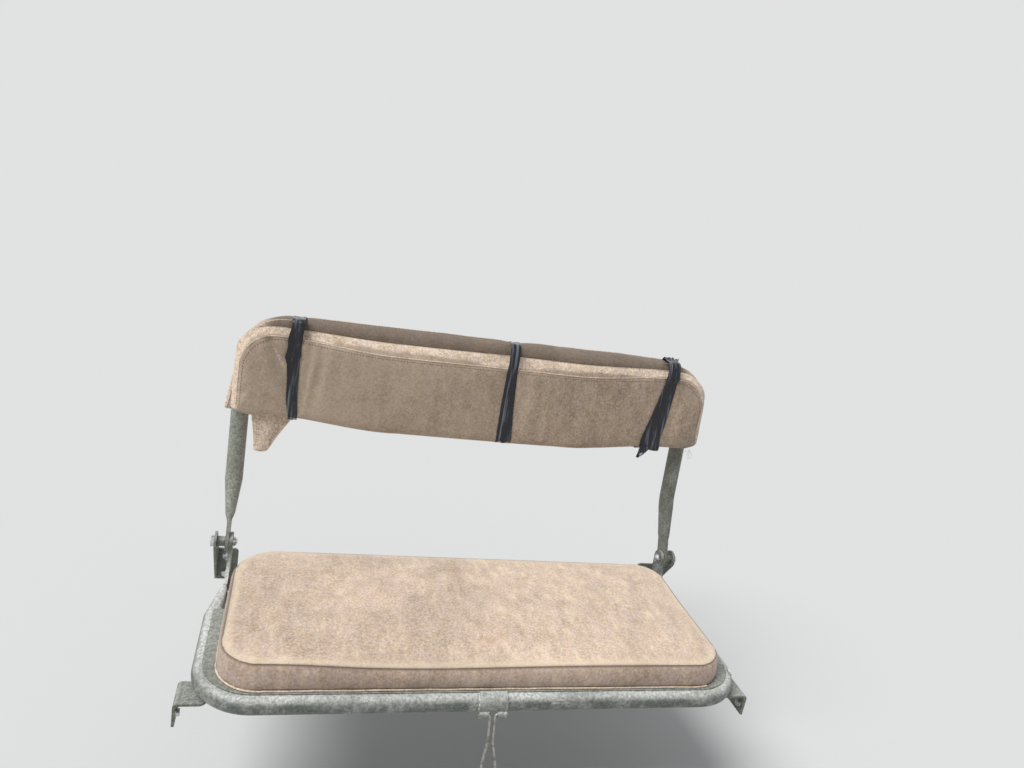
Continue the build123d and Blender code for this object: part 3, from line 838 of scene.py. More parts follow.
# %% Wear down the front edge
worn_place = -100 * mm
worn_width = 170 * mm
worn_sink = 4.4 * mm
worn_creep = 0.8 * mm
rear_rise = 4.5 * mm
left_rise = 4.0 * mm
for point in cushion.data.vertices:
    share = hill(point.co.x, worn_place, worn_width) * ease(point.co.z, cushion_low.z + 4 * mm, seam_height)
    share *= 1 - ease(point.co.y, cushion_low.y, cushion_low.y + 110 * mm)
    point.co += Vector((0, -worn_creep, -worn_sink)) * share
    upper = ease(point.co.z, cushion_low.z + 4 * mm, seam_height)
    to_rear = ease(point.co.y, cushion_middle.y, cushion_high.y)
    to_left = (1 - ease(point.co.x, -330 * mm, -180 * mm)) * (1 - to_rear)
    point.co.z += upper * (rear_rise * to_rear + left_rise * to_left)
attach(cushion, "seat_base")
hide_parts("seat_cushion")
cushion_top = max(point.co.z for point in cushion.data.vertices)
print("cushion top at", round(cushion_top * 1000, 1), "mm")

# %% [markdown]
# The bottom panel's seam allowance sticks out as a pale folded welt along the front. It isn't turned
# in at its end, so it stops with a raw cut short of the right corner. A curve with a round bevel makes
# such a cord. Its points are the nearest ones on the finished cover, so it stays on the worn edge.

# %% Helpers for cords
def tube_along(name, points, radius, material):
    """A round cord along the points: a curve with a bevel, turned into a mesh."""
    line = bpy.data.curves.new(name, "CURVE")
    line.dimensions = "3D"
    line.bevel_depth = radius
    line.bevel_resolution = 2
    line.use_fill_caps = True
    spline = line.splines.new("POLY")
    spline.points.add(len(points) - 1)
    for target, point in zip(spline.points, points):
        target.co = (*point, 1.0)
    shaped = bpy.data.objects.new(name, line)
    data = bpy.data.meshes.new_from_object(shaped)
    bpy.data.objects.remove(shaped)
    data.materials.clear()
    data.materials.append(material)
    data.shade_smooth()
    piece = bpy.data.objects.new(name, data)
    bpy.context.scene.collection.objects.link(piece)
    return piece


def surface_of(*pieces):
    """A search tree over the pieces' faces, for finding points on them."""
    joined = bmesh.new()
    for piece in pieces:
        joined.from_mesh(piece.data)
    tree = BVHTree.FromBMesh(joined)
    joined.free()
    return tree

# %% Lay the bottom welt
welt_radius = 1.5 * mm
welt_end = 372 * mm
welt_reach = 60 * mm
cushion_surface = surface_of(cushion)


def on_boxing(x, y):
    """The foot of the boxing nearest to a place outside the cushion, and the way out from it."""
    here = Vector((x, y, cushion_low.z + 3 * mm))
    hit, normal, _, _ = cushion_surface.find_nearest(here)
    outward = Vector((normal.x, normal.y, 0)).normalized()
    return hit + outward * 0.6 * welt_radius


welt_start = [
    (cushion_low.x - welt_reach, cushion_middle.y + 110 * mm - 20 * mm * step) for step in range(12)
]
corner_radius = cushion_corners["left", "front"]
corner_x, corner_y = cushion_low.x + corner_radius, cushion_low.y + corner_radius
welt_corner = [
    (corner_x - (corner_radius + welt_reach) * cos(radians(7.5 * step)),
     corner_y - (corner_radius + welt_reach) * sin(radians(7.5 * step)))
    for step in range(13)
]
welt_front = [
    (corner_x + (welt_end - corner_x) * step / 110, cushion_low.y - 14 * mm) for step in range(1, 111)
]
welt_line = []
for x, y in welt_start + welt_corner + welt_front:
    place = on_boxing(x, y)
    place.z = cushion_low.z + welt_radius + 0.5 * mm * noise.noise(place * 40)
    place.y += 0.7 * mm * noise.noise(place * 24)
    if not welt_line or (place - welt_line[-1]).length > 2 * mm:
        welt_line.append(place)
welt = tube_along("cushion_welt", welt_line, welt_radius, hem_canvas)
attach(welt, "seat_base")
print("welt:", len(welt_line), "points")

# %% [markdown]
# The backrest has its own frame of reference. The pad hangs from the top tube and leans back with the
# legs, so it is modelled upright round the tube's centre line and tilted into place at the end. That
# keeps every size plain: x across, y to the rear and z up the back.

# %% The backrest's own frame of reference
tube_radius = 15 * mm
back_lean = atan2(22, 250)
frame_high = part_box("back_frame")[1]
top_tube = Vector((0, frame_high.y - tube_radius, frame_high.z - tube_radius))
back_place = Matrix.Translation(top_tube) @ Matrix.Rotation(-back_lean, 4, "X")
pad_left, pad_right = -434 * mm, 449 * mm
pad_cell = 5.0 * mm
seam_z = 8 * mm
hem_z = -134 * mm
wrap_low = -141 * mm
middle_sag = 15 * mm
tape_rows = {  # for each band: height on the front face, its left edge and its right edge
    "tape_left": ((30, -353, -332), (9, -357, -334), (-16, -357, -335), (-28, -360, -336),
                  (-40, -356, -335), (-66, -353, -334), (-101, -352, -333), (-136, -345, -330)),
    "tape_middle": ((-5, 35, 54), (-70, 33, 57), (-139, 32, 61)),
    "tape_right": ((0, 357, 381), (-60, 342, 375), (-118, 327, 367), (-134, 325, 368)),
}
tape_drift = {"tape_left": 1 * mm, "tape_middle": 9 * mm, "tape_right": 10 * mm}
rear_edges = {  # height and place across of the rear half's free ends; at the left a corner sticks out
    "left": ((38, -354), (34, -376), (23, -405), (5, -424), (-13, -438), (-21, -446), (-29, -441),
             (-40, -440), (-88, -449), (-132, -456), (-140, -457)),
    "right": ((42, 362), (34, 390), (20, 420), (3, 443), (-20, 454), (-50, 458), (-140, 456)),
}


def between(rows, z):
    """The other numbers of a table of heights, eased between its rows, in metres."""
    if z >= rows[0][0] * mm:
        return [value * mm for value in rows[0][1:]]
    for (high, *first), (low, *second) in zip(rows, rows[1:]):
        if z >= low * mm:
            share = (high * mm - z) / ((high - low) * mm)
            return [(a + (b - a) * share) * mm for a, b in zip(first, second)]
    return [value * mm for value in rows[-1][1:]]


def tape_edges(name, y, z):
    """The band's left and right edge at a place on the pad: it drifts to the right over the top."""
    drift = tape_drift[name] * ease(y, -30 * mm, 15 * mm) * ease(z, wrap_low, 0)
    return [edge + drift for edge in between(tape_rows[name], z)]


def under_tape(place, margin=0.0):
    return any(low - margin < place.x < high + margin for low, high in
               (tape_edges(name, place.y, place.z) for name in tape_rows))


def extruded(name, section, left, right, material):
    """A bar with the given section, a few points in y and z, from left to right."""
    form = bmesh.new()
    corners = [form.verts.new((left, y * mm, z * mm)) for y, z in section]
    end = form.faces.new(corners)
    far = bmesh.ops.extrude_face_region(form, geom=[end])["geom"]
    bmesh.ops.translate(form, verts=[item for item in far if isinstance(item, bmesh.types.BMVert)],
                        vec=(right - left, 0, 0))
    bmesh.ops.recalc_face_normals(form, faces=form.faces)
    return new_piece(name, form, material)


def sag(x):
    """How far the pad hangs down between its tied ends."""
    return middle_sag * (1 - ease(abs(x), 170 * mm, 380 * mm))


print("top tube at", [round(value, 4) for value in top_tube], "leaning", round(degrees(back_lean), 2))

# %% [markdown]
# The pad is a box cushion that was doubled over the tube. Its front half has a flat face, a seam with
# small stitches round it, and a pale gusset that slants up and back. The rear half rolls over the tube
# and hangs down behind. They are two bars of different section, and where a band of tape crosses them
# the solver holds the cloth, so the filling swells between the bands and creases beside them.

# %% Shape the two halves of the back pad
front_section = ((-36, -134), (-36, 8), (-30, 12), (-19, 21), (-17.5, -131))
rear_section = ((-17.5, 3), (-17, 22), (-11, 32), (0, 37), (20, 37), (30, 30), (30, -142),
                (17, -142), (17, 4), (12, 13), (4, 17.5), (-6, 17), (-13, 11), (-15.8, 3))
front_top = 21 * mm
front_corner_left, front_corner_right = 56 * mm, 62 * mm
corner_lift = 7 * mm
corner_drop = 5 * mm
end_flare = 10.5 * mm
end_reach = 100 * mm
pad_swell = 4.5 * mm
front_press, rear_press, top_press = 1.6 * mm, 1.2 * mm, 1.5 * mm  # how far the bands push the cloth in


def round_corners(piece):
    """Lowers the top towards both ends, so that the upper corners are round seen from the front."""
    for point in piece.data.vertices:
        ends = ((point.co.x - pad_left, front_corner_left), (pad_right - point.co.x, front_corner_right))
        for distance, radius in ends:
            inside = min(1.0, max(0.0, (radius - distance) / radius))
            drop = radius * (1 - sqrt(max(0.0, 1 - inside * inside)))
            point.co.z -= drop * ease(point.co.z, front_top - 2.6 * radius, front_top)


def shape_front(place):
    """Rounds, flares and sags the plain bar of the front half: where a point of it goes."""
    x, y, z = place
    gap = min(x - pad_left, pad_right - x)
    z += corner_lift * (1 - ease(gap, 0, 28 * mm)) * (1 - ease(z, hem_z, hem_z + 26 * mm))
    x += (1 if x > 0 else -1) * end_flare * ease(y, -34 * mm, -18 * mm) * (1 - ease(gap, 0, end_reach))
    low = 1 - ease(z, -60 * mm, 0)
    z -= corner_drop * low * (1 - ease(place.x - pad_left, 0, 70 * mm))
    forward = 0.4 + 0.6 * ease(-y, 19 * mm, 34 * mm)
    return Vector((x, y, z - sag(place.x) * (forward + (1.15 - forward) * low)))


def shape_rear(place):
    """Gives the rear half its ragged ends and lets its lower part sag."""
    x, y, z = place
    for side, plain_end in (("left", pad_left), ("right", pad_right)):
        start = plain_end + (end_reach if side == "left" else -end_reach)
        if (x - start) * (plain_end - start) > 0:
            edge = between(rear_edges[side], z)[0]
            x = start + (x - start) * (edge - start) / (plain_end - start)
    low = 1 - ease(z, -60 * mm, 0)
    return Vector((x, y, z - sag(place.x) * low))


pad_front = extruded("back_pad_front", front_section, pad_left, pad_right, back_canvas)
pad_rear = extruded("back_pad_rear", rear_section, pad_left, pad_right, back_canvas)
for piece, shape in ((pad_front, shape_front), (pad_rear, shape_rear)):
    even_grid(piece, pad_cell)
    if piece is pad_front:
        round_corners(piece)
    tied = []
    for point in piece.data.vertices:
        hidden = abs(point.co.y) < 19 * mm and point.co.z < 12 * mm
        point.co = shape(point.co)
        if under_tape(point.co, 1 * mm) or hidden:
            tied.append(point.index)
        if under_tape(point.co, 2 * mm) and point.co.z > -130 * mm:
            point.co.y += front_press if point.co.y < -10 * mm else -rear_press
            point.co.z -= top_press * ease(point.co.z, 10 * mm, 30 * mm)
    inflate(piece, tied, pad_swell)
    divide_once(piece)
    print(piece.name, len(piece.data.vertices), "points")

# %% [markdown]
# Beside each band the cloth is drawn into folds that run up and down, and both halves are a little
# wavy. The folds are pressed in one by one, like the pleats of the seat, and noise makes the waves. A point
# that ends up inside the tube is set back outside it, since cloth can't go into steel.

# %% Crease the face beside the bands
folds = (  # place across, height, lean, length, width, depth
    (-322, -60, 0.06, 70, 6, 2.0),
    (-312, -50, 0.10, 60, 7, -1.6),
    (-303, -75, 0.14, 55, 8, 1.4),
    (-286, -45, 0.16, 45, 9, -1.2),
    (-374, -24, -0.55, 32, 8, 6.0),
    (-391, -34, -0.50, 36, 9, -3.5),
    (-398, -62, -0.30, 34, 9, 1.2),
    (20, -80, -0.05, 60, 7, 1.3),
    (74, -60, 0.08, 65, 8, 1.4),
    (88, -90, 0.12, 50, 9, -1.0),
    (318, -80, -0.25, 60, 8, 1.6),
    (302, -70, -0.22, 50, 9, -1.2),
    (392, -40, 0.20, 50, 7, 1.8),
    (404, -80, 0.10, 40, 8, -1.4),
)


def crease_depth(place):
    depth = 0.0
    for across, height, lean, length, width, deep in folds:
        middle = (across + lean * (place.z / mm - height)) * mm
        depth += deep * mm * hill(place.x, middle, width * mm) * hill(place.z, height * mm, length * mm)
    ripple = noise.noise(Vector((place.x * 26, 1.7, place.z * 18)))
    drag = noise.noise(Vector((place.x * 75, 4.2, place.z * 9)))
    return depth + 1.0 * mm * ripple + 0.5 * mm * drag


for point in pad_front.data.vertices:
    if point.co.y < -25 * mm:
        point.co.y += crease_depth(point.co) * ease(-25 * mm - point.co.y, 0, 8 * mm)
rear_normals = [point.normal.copy() for point in pad_rear.data.vertices]
for point, normal in zip(pad_rear.data.vertices, rear_normals):
    ripple = noise.noise(Vector((point.co.x * 20, point.co.y * 14, point.co.z * 14)))
    if abs(point.co.y) > 20 * mm or point.co.z > 22 * mm:
        point.co += normal * 1.3 * mm * ripple
    off_tube = Vector((point.co.y, point.co.z))
    if point.co.z > 0 and off_tube.length < tube_radius + 0.8 * mm:
        grown = off_tube.normalized() * (tube_radius + 0.8 * mm)
        point.co.y, point.co.z = grown
for piece in (pad_front, pad_rear):
    for point in piece.data.vertices:
        if point.co.z < 12 * mm and abs(point.co.y) < tube_radius + 0.5 * mm:
            point.co.y = (tube_radius + 0.5 * mm) * (1 if point.co.y > 0 else -1)
print("folds beside the bands:", len(folds))

# %% [markdown]
# The front face's seam is found on the finished surface: rays from outside, along the outline of the
# face, hit the place where the cloth turns the corner. One cord along them is the folded lip of the
# seam, and a row of stitches runs a few millimetres inside it.

# %% Helpers for seams
def laid_on(surface, place, lift):
    """The nearest place on a surface, lifted off it a little."""
    hit, normal, _, _ = surface.find_nearest(place)
    return hit + normal * lift


def spaced(points, pitch):
    """Places at an even pitch along a line of points, each with the line's direction there."""
    travelled, due, places = 0.0, 0.0, []
    for first, second in zip(points, points[1:]):
        step = (second - first).length
        while due <= travelled + step and step > 0:
            places.append((first.lerp(second, (due - travelled) / step), (second - first).normalized()))
            due += pitch
        travelled += step
    return places


def stitch_row(name, points, normals, pitch, length, radius):
    """One mesh with a small stitch at every pitch along the line."""
    form = bmesh.new()
    nearest = KDTree(len(points))
    for number, point in enumerate(points):
        nearest.insert(point, number)
    nearest.balance()
    for place, along in spaced(points, pitch):
        normal = normals[nearest.find(place)[1]]
        side = normal.cross(along).normalized()
        turn = Matrix((along, side, along.cross(side))).transposed().to_4x4()
        scale = Matrix.Diagonal((length / 2, radius, radius, 1))
        bmesh.ops.create_icosphere(form, subdivisions=1, radius=1.0,
                                   matrix=Matrix.Translation(place) @ turn @ scale)
    return new_piece(name, form, thread_dark_shaded)

# %% Sew the front face
front_surface = surface_of(pad_front)
rear_surface = surface_of(pad_rear)


def face_outline(inside):
    """The front face's outline from its lower left corner, over the top, to its lower right corner."""
    count = 12
    left, right, top, bottom = pad_left + inside, pad_right - inside, seam_z - inside, hem_z + 16 * mm
    line = [Vector((left, 0, bottom + (top - front_corner_left - bottom) * step / 9)) for step in range(9)]
    for side, first, radius in ((left, 180, front_corner_left), (right, 90, front_corner_right)):
        middle_x = side + radius * (1 if first == 180 else -1)
        for step in range(count + 1):
            angle = radians(first - 90 * step / count)
            line.append(Vector((middle_x + radius * cos(angle), 0, top - radius + radius * sin(angle))))
        if first == 180:
            free = right - front_corner_right - middle_x
            line += [Vector((middle_x + free * step / 40, 0, top)) for step in range(1, 40)]
    turn = top - front_corner_right
    line += [Vector((right, 0, turn + (bottom - turn) * step / 9)) for step in range(1, 10)]
    return [point - Vector((0, 0, sag(point.x))) for point in line]


def on_front(points, lift):
    """Moves each point of the outline onto the front face, lifted off it a little."""
    placed, normals = [], []
    for point in points:
        hit, normal, _, _ = front_surface.ray_cast(Vector((point.x, -0.2, point.z)), Vector((0, 1, 0)))
        if hit is None:
            hit, normal, _, _ = front_surface.find_nearest(Vector((point.x, -0.034, point.z)))
        placed.append(hit + normal * lift)
        normals.append(normal)
    return placed, normals


def calm(line, rounds=2):
    """Evens out small steps in a line of points, and keeps its two ends."""
    for _ in range(rounds):
        inner = [(before + 2 * here + after) / 4 for before, here, after in zip(line, line[1:], line[2:])]
        line = [line[0], *inner, line[-1]]
    return line


lip_inside, lip_radius = 1.0 * mm, 1.0 * mm
stitch_inside = 6.5 * mm
lip_places = [point for point, _ in spaced(face_outline(lip_inside), 5 * mm)]
lip_line, _ = on_front(lip_places, 0.3 * mm)
lip = tube_along("pad_seam_lip", calm(lip_line, 3), lip_radius, hem_canvas)
stitch_places = [point for point, _ in spaced(face_outline(stitch_inside), 4 * mm)]
stitch_line, stitch_normals = on_front(stitch_places, 0.1 * mm)
face_stitches = stitch_row(
    "pad_face_stitches", stitch_line, stitch_normals, 5.2 * mm, 3.4 * mm, 0.55 * mm)
print("front seam:", len(lip_line), "points,", len(face_stitches.data.vertices) // 12, "stitches")

# %% [markdown]
# Where a layer of the cover ends on another one, its edge is turned in, and the fold shows as a pale
# rounded lip. One runs along the gusset's far side, and one down each ragged end of the rear half. The
# ends are guided by places taken from the photograph, and drawn onto the cloth from there.

# %% Fold the edges of the layers
left_edge = (  # place across and height of the gusset's far edge at the left end, from the bottom up
    (-440, -134), (-441, -104), (-440, -80), (-438, -60), (-435, -39), (-432, -26), (-427, -14),
    (-420, -4), (-412, 6), (-402, 14), (-390, 19),
)
right_edge = ((400, 17), (415, 9), (430, -4), (443, -20), (451, -40), (455, -70))
gusset_line = [Vector((x * mm, -18 * mm, z * mm)) for x, z in left_edge]
gusset_line += [Vector((x * mm, -19 * mm, 22 * mm - 0.4 * sag(x * mm))) for x in range(-380, 391, 10)]
gusset_line += [Vector((x * mm, -18 * mm, z * mm)) for x, z in right_edge]
gusset_edge = [laid_on(front_surface, place, 0.3 * mm) for place, _ in spaced(gusset_line, 6 * mm)]
gusset_lip = tube_along("pad_gusset_lip", calm(gusset_edge, 3), 0.9 * mm, hem_canvas)
layer_lips = []
for side, rows in rear_edges.items():
    free_end = [Vector((x * mm, -12 * mm, z * mm)) for z, x in reversed(rows)]
    free_edge = [laid_on(rear_surface, place, 0.3 * mm) for place, _ in spaced(free_end, 5 * mm)]
    layer_lips.append(tube_along("pad_layer_lip_" + side, calm(free_edge, 2), 1.1 * mm, hem_canvas))
print("folded edges:", 1 + len(layer_lips))

# %% [markdown]
# A hem runs across the pad where it rolls over the tube, with a row of stitches in front of it. Both
# lie on top, so rays from above find their places on the cloth.

# %% Sew the hem along the top of the rear half
def on_rear_top(x, y, lift):
    hit, normal, _, _ = rear_surface.ray_cast(Vector((x, y, 0.2)), Vector((0, 0, -1)))
    return hit + normal * lift, normal


hem_places = [on_rear_top((-300 + 6 * step) * mm, 4 * mm, 0.1 * mm) for step in range(58)]
hem_stitches = stitch_row(
    "pad_hem_stitches", [place for place, _ in hem_places], [normal for _, normal in hem_places],
    6.0 * mm, 4.0 * mm, 0.6 * mm)
hem_line = [on_rear_top((-350 + 6 * step) * mm, 16 * mm, 0.1 * mm)[0] for step in range(118)]
hem_lip = tube_along("pad_hem_lip", calm(hem_line), 1.2 * mm, hem_canvas)
print("hem:", len(hem_places), "places for stitches")

# %% [markdown]
# The tape is a flat strip that follows whatever it is drawn over. A grid is bent round the outline of
# the whole pad, each of its points is dropped onto the cloth, and a few rounds of smoothing pull it
# tight over the hollows, as tension does. Ridges along the strip make it look drawn together by hand.

# %% Helpers for winding tape
both_halves = surface_of(pad_front, pad_rear, lip, hem_lip, gusset_lip)
wrap_front, wrap_rear = -38 * mm, 32 * mm
wrap_high = 38 * mm
wrap_corner = 9 * mm
around_steps, across_steps = 190, 14
cast_from, cast_reach = 25 * mm, 33 * mm
pull_rounds, cling_rounds = 16, 13
tape_lift, ridge_height, waver = 1.1 * mm, 0.8 * mm, 0.7 * mm
band_wall = 0.45 * mm
crumples = {  # for each band: place along and height, reach and height of a crumpled lump
    "tape_left": ((-38, -22, 10, 2.0), (-34, 6, 8, 1.5), (2, 38, 10, 2.5)),
    "tape_middle": ((8, 38, 9, 0.8),),
    "tape_right": ((-33, 10, 9, 4.0), (-24, 22, 10, 6.0), (-6, 34, 11, 7.0), (10, 38, 11, 5.0)),
}


def wrap_path(x):
    """The outline of the whole pad at x, as places with their outward directions."""
    low = wrap_low - 0.3 * sag(x)
    points = []
    corners = (
        (wrap_rear - wrap_corner, low + wrap_corner, 0, -90),
        (wrap_front + wrap_corner, low + wrap_corner, -90, -180),
        (wrap_front + wrap_corner, wrap_high - wrap_corner, 180, 90),
        (wrap_rear - wrap_corner, wrap_high - wrap_corner, 90, 0),
    )
    for y, z, first, last in corners:
        for step in range(7):
            angle = radians(first + (last - first) * step / 6)
            points.append(Vector((0, y + wrap_corner * cos(angle), z + wrap_corner * sin(angle))))
    return points


def walk_round(path):
    """Places at even steps along a closed path, each with its direction out of the pad."""
    route = path + [path[0]]
    lengths = [0.0]
    for first, second in zip(route, route[1:]):
        lengths.append(lengths[-1] + (second - first).length)
    inside = Vector((0, (wrap_front + wrap_rear) / 2, -55 * mm))
    places = []
    for step in range(around_steps):
        goal = step / around_steps * lengths[-1]
        number = max(1, next(n for n, value in enumerate(lengths) if value >= goal - 1e-9))
        span = lengths[number] - lengths[number - 1] or 1
        here = route[number - 1].lerp(route[number], (goal - lengths[number - 1]) / span)
        along = (route[number] - route[number - 1]).normalized()
        out = Vector((0, along.z, -along.y))
        places.append((here, -out if out.dot(here - inside) < 0 else out))
    return places


def drop_on_cloth(name, places):
    """Line by line across the band, where it meets the cloth, with the directions out."""
    columns = []
    for row in range(across_steps + 1):
        column = []
        for here, out in places:
            left, right = tape_edges(name, here.y, here.z)
            place = Vector((left + (right - left) * row / across_steps, here.y, here.z))
            hit, _, _, distance = both_halves.ray_cast(place + out * cast_from, -out)
            column.append((place if hit is None or distance > cast_reach else hit, out))
        columns.append(column)
    return columns


def pull_tight(column):
    """How far a line round the pad lifts off the cloth, place by place, when it is drawn over hollows."""
    ground = [place.dot(out) for place, out in column]
    line = [place for place, _ in column]
    for number in range(pull_rounds):
        line = [(line[n - 1] + line[n] * 2 + line[(n + 1) % around_steps]) / 4 for n in range(around_steps)]
        if number < cling_rounds:
            rises = [max(0.0, level - here.dot(out)) for here, level, (_, out) in zip(line, ground, column)]
            line = [here + out * rise for here, rise, (_, out) in zip(line, rises, column)]
    return [here.dot(out) - level for here, level, (_, out) in zip(line, ground, column)]


def crumple(name, place, share, seed):
    """How high the band is crushed up at a place."""
    lump = 0.0
    for along, height, reach, rise in crumples[name]:
        crushed = 0.35 + 1.3 * abs(noise.noise(Vector((share * 4, place.y * 110, place.z * 110 + seed))))
        away = hypot(place.y - along * mm, place.z - height * mm)
        lump += rise * mm * crushed * hill(away, 0, reach * mm)
    return max(0.0, lump)

# %% Wind the bands of tape
def wind_tape(name, seed):
    middle = sum(tape_edges(name, wrap_front, -50 * mm)) / 2
    columns = drop_on_cloth(name, walk_round(wrap_path(middle)))
    lifts = [pull_tight(column) for column in columns]
    form = bmesh.new()
    bmesh.ops.create_grid(form, x_segments=around_steps, y_segments=across_steps, size=1.0)
    for point in form.verts:
        step = round((point.co.x + 1) / 2 * around_steps) % around_steps
        row = round((point.co.y + 1) / 2 * across_steps)
        place, out = columns[row][step]
        share, angle = row / across_steps, 2 * pi * step / around_steps
        swing = noise.noise(Vector((cos(angle) * 2, sin(angle) * 2, seed)))
        grain = noise.noise(Vector((share * 5, angle * 1.4, seed + 5)))
        ridge = sin(share * 10 + 4 * swing) * 0.5 + grain * 0.6
        flat_edge = sin(pi * share) ** 0.5 if 0 < share < 1 else 0.0
        lump = crumple(name, place, share, seed)
        point.co = place + out * (lifts[row][step] + tape_lift + ridge_height * ridge * flat_edge + lump)
        spread = (2 * share - 1) * min(4 * mm, lump * 0.8)
        point.co.x += spread + waver * noise.noise(Vector((cos(angle) * 2, sin(angle) * 2, seed + 9)))
    bmesh.ops.remove_doubles(form, verts=form.verts, dist=0.01 * mm)
    bmesh.ops.recalc_face_normals(form, faces=form.faces)
    return thicken(new_piece(name + "_band", form, tape_black), band_wall, 1.0)


bands = {name: wind_tape(name, seed) for seed, name in enumerate(tape_rows)}
for name, band in bands.items():
    print(band.name, len(band.data.vertices), "points")

# %% [markdown]
# The right band was torn off, not cut, and a twisted tail hangs from its lower corner. It is a small
# grid drawn along a line and rolled over a little towards its end.

# %% Tear off the tail of the right band
tail_line = ((338, -39.5, -131, 20), (332, -40.5, -140, 15), (327, -41.5, -148, 10), (322, -41, -155, 6))
tail_steps = 12


def tear_tail():
    form = bmesh.new()
    bmesh.ops.create_grid(form, x_segments=tail_steps, y_segments=6, size=1.0)
    for point in form.verts:
        along, share = (point.co.x + 1) / 2, point.co.y / 2
        step = min(len(tail_line) - 2, int(along * (len(tail_line) - 1)))
        part = along * (len(tail_line) - 1) - step
        x, y, z, width = (a + (b - a) * part for a, b in zip(tail_line[step], tail_line[step + 1]))
        twist = radians(-70) * along
        ragged = 2.0 * noise.noise(Vector((share * 6, along * 3, 2.5))) * along
        side = Vector((cos(radians(25)) * cos(twist), sin(twist), -sin(radians(25)) * cos(twist)))
        point.co = (Vector((x, y, z + ragged)) + side * share * width) * mm
    bmesh.ops.recalc_face_normals(form, faces=form.faces)
    return thicken(new_piece("tape_tail", form, tape_black), 0.5 * mm)


tape_tail = tear_tail()
print("tail:", len(tape_tail.data.vertices), "points")

# %% [markdown]
# A corner of the pad's cover hangs down under its left end, between the leg and the band. It is a
# doubled piece of canvas with its two free edges turned in and sewn twice. A grid between its left and
# right edge gives the shape, and a wall makes it as thick as two layers of cloth.

# %% Hang the corner flap
flap_rows = (  # height, left edge, right edge
    (-124, -404, -330), (-137, -405, -339), (-146, -403.5, -345), (-160, -401, -354),
    (-176, -399, -364), (-190, -397.5, -371), (-199, -397, -376),
)
flap_y = -25 * mm
flap_thickness = 1.8 * mm
flap_steps = 24


def flap_place(across, down):
    """A place on the flap, from its left edge to its right one and from its top to its tip."""
    z = (flap_rows[0][0] + (flap_rows[-1][0] - flap_rows[0][0]) * down) * mm
    left, right = between(flap_rows, z)
    bulge = 3.0 * mm * sin(pi * across) * down + 1.2 * mm * noise.noise(Vector((across * 2, down * 2, 4.4)))
    return Vector((left + (right - left) * across, flap_y - bulge - 3 * mm * down, z))


def cut_flap():
    form = bmesh.new()
    bmesh.ops.create_grid(form, x_segments=flap_steps, y_segments=flap_steps, size=1.0)
    for point in form.verts:
        point.co = flap_place((point.co.x + 1) / 2, (1 - point.co.y) / 2)
    bmesh.ops.recalc_face_normals(form, faces=form.faces)
    return thicken(new_piece("pad_corner_flap", form, back_canvas), flap_thickness, 0.0)


flap = cut_flap()
flap_grid = [step / flap_steps for step in range(flap_steps + 1)]
flap_edge = [flap_place(0, down) for down in flap_grid[4:]]
flap_edge += [flap_place(across, 1) for across in flap_grid[3:-3:3]]
flap_edge += [flap_place(1, down) for down in reversed(flap_grid[4:])]
flap_hem = tube_along("pad_flap_hem", calm(flap_edge), 1.3 * mm, hem_canvas)
flap_stitches = []
for number, inside in enumerate((0.11, 0.20)):
    rows = [down for down in flap_grid if 0.22 < down < 0.96 - inside]
    line = [flap_place(inside, down) for down in rows]
    line += [flap_place(1 - inside, down) for down in reversed(rows)]
    line = [place - Vector((0, flap_thickness / 2, 0)) for place in line]
    flap_stitches.append(stitch_row(
        "pad_flap_stitches_" + str(number + 1), line, [Vector((0, -1, 0))] * len(line),
        4.6 * mm, 2.8 * mm, 0.45 * mm))

# %% [markdown]
# At the lower right corner the cover's cut edge has frayed, and a few loose threads stick out of it.
# Hair would be hard to aim, so each thread is a thin cord between two given places, slightly bent.

# %% Fray the lower right corner
frays = (  # start and end of each thread, with how far it bends
    ((431, -30, -137), (436, -36, -150), 3.0),
    ((436, -30, -136), (446, -35, -149), 4.0),
    ((441, -30, -133), (443, -34, -152), -3.0),
    ((428, -32, -138), (424, -37, -147), -2.0),
)
fray_lines = []
for number, (first, last, bend) in enumerate(frays):
    first, last = Vector(first) * mm, Vector(last) * mm
    line = [
        first.lerp(last, step / 8) + Vector((bend * mm * sin(pi * step / 8), 0, 0)) for step in range(9)
    ]
    fray_lines.append(tube_along("pad_fray_" + str(number + 1), line, 0.35 * mm, thread_pale))
print("frays:", len(fray_lines))

# %% [markdown]
# The gusset, the rear half's two ends and the flap keep the cloth's pale colour, and the rest of the pad
# takes the darker cloth, which is painted shade. The roll over the tube gets more painted shade, with
# some dirt from hands, and the face gets painted light towards its left end. Each of these is a mask on
# the mesh, made while the pad still stands upright. After that every piece is tilted into place.

# %% Paint the pad and set its pieces in place
cloth_pieces = [pad_front, pad_rear, lip, gusset_lip, *layer_lips, hem_lip, face_stitches, hem_stitches,
                flap, flap_hem, *flap_stitches, *fray_lines]
back_pieces = [*cloth_pieces, tape_tail, *bands.values()]


def gusset_mask(place):
    """1 on the pale gusset round the front half, 0 on its face."""
    return ease(place.y, -33.5 * mm, -31 * mm) * ease(place.z, -131 * mm, -127 * mm)


def end_mask(place):
    """The rear half's two ends take the pale cloth; the rest takes the darker one, which is painted shade.
    """
    return 1 - ease(place.x, -405 * mm, -380 * mm) * (1 - ease(place.x, 395 * mm, 420 * mm))


def roll_shade_and_grime(place):
    """Painted shade, with some dirt from hands, darkens the roll over the tube; it fades towards the ends.
    """
    top = ease(place.z, 6 * mm, 20 * mm) * ease(place.y, -24 * mm, -16 * mm)
    return 0.68 * top * (1 - end_mask(place))


def left_light_mask(place):
    """Painted light: the pad's face is paler towards its left end, where the light comes from."""
    return 0.34 * (1 - ease(place.x, -330 * mm, 300 * mm)) * (1 - gusset_mask(place))


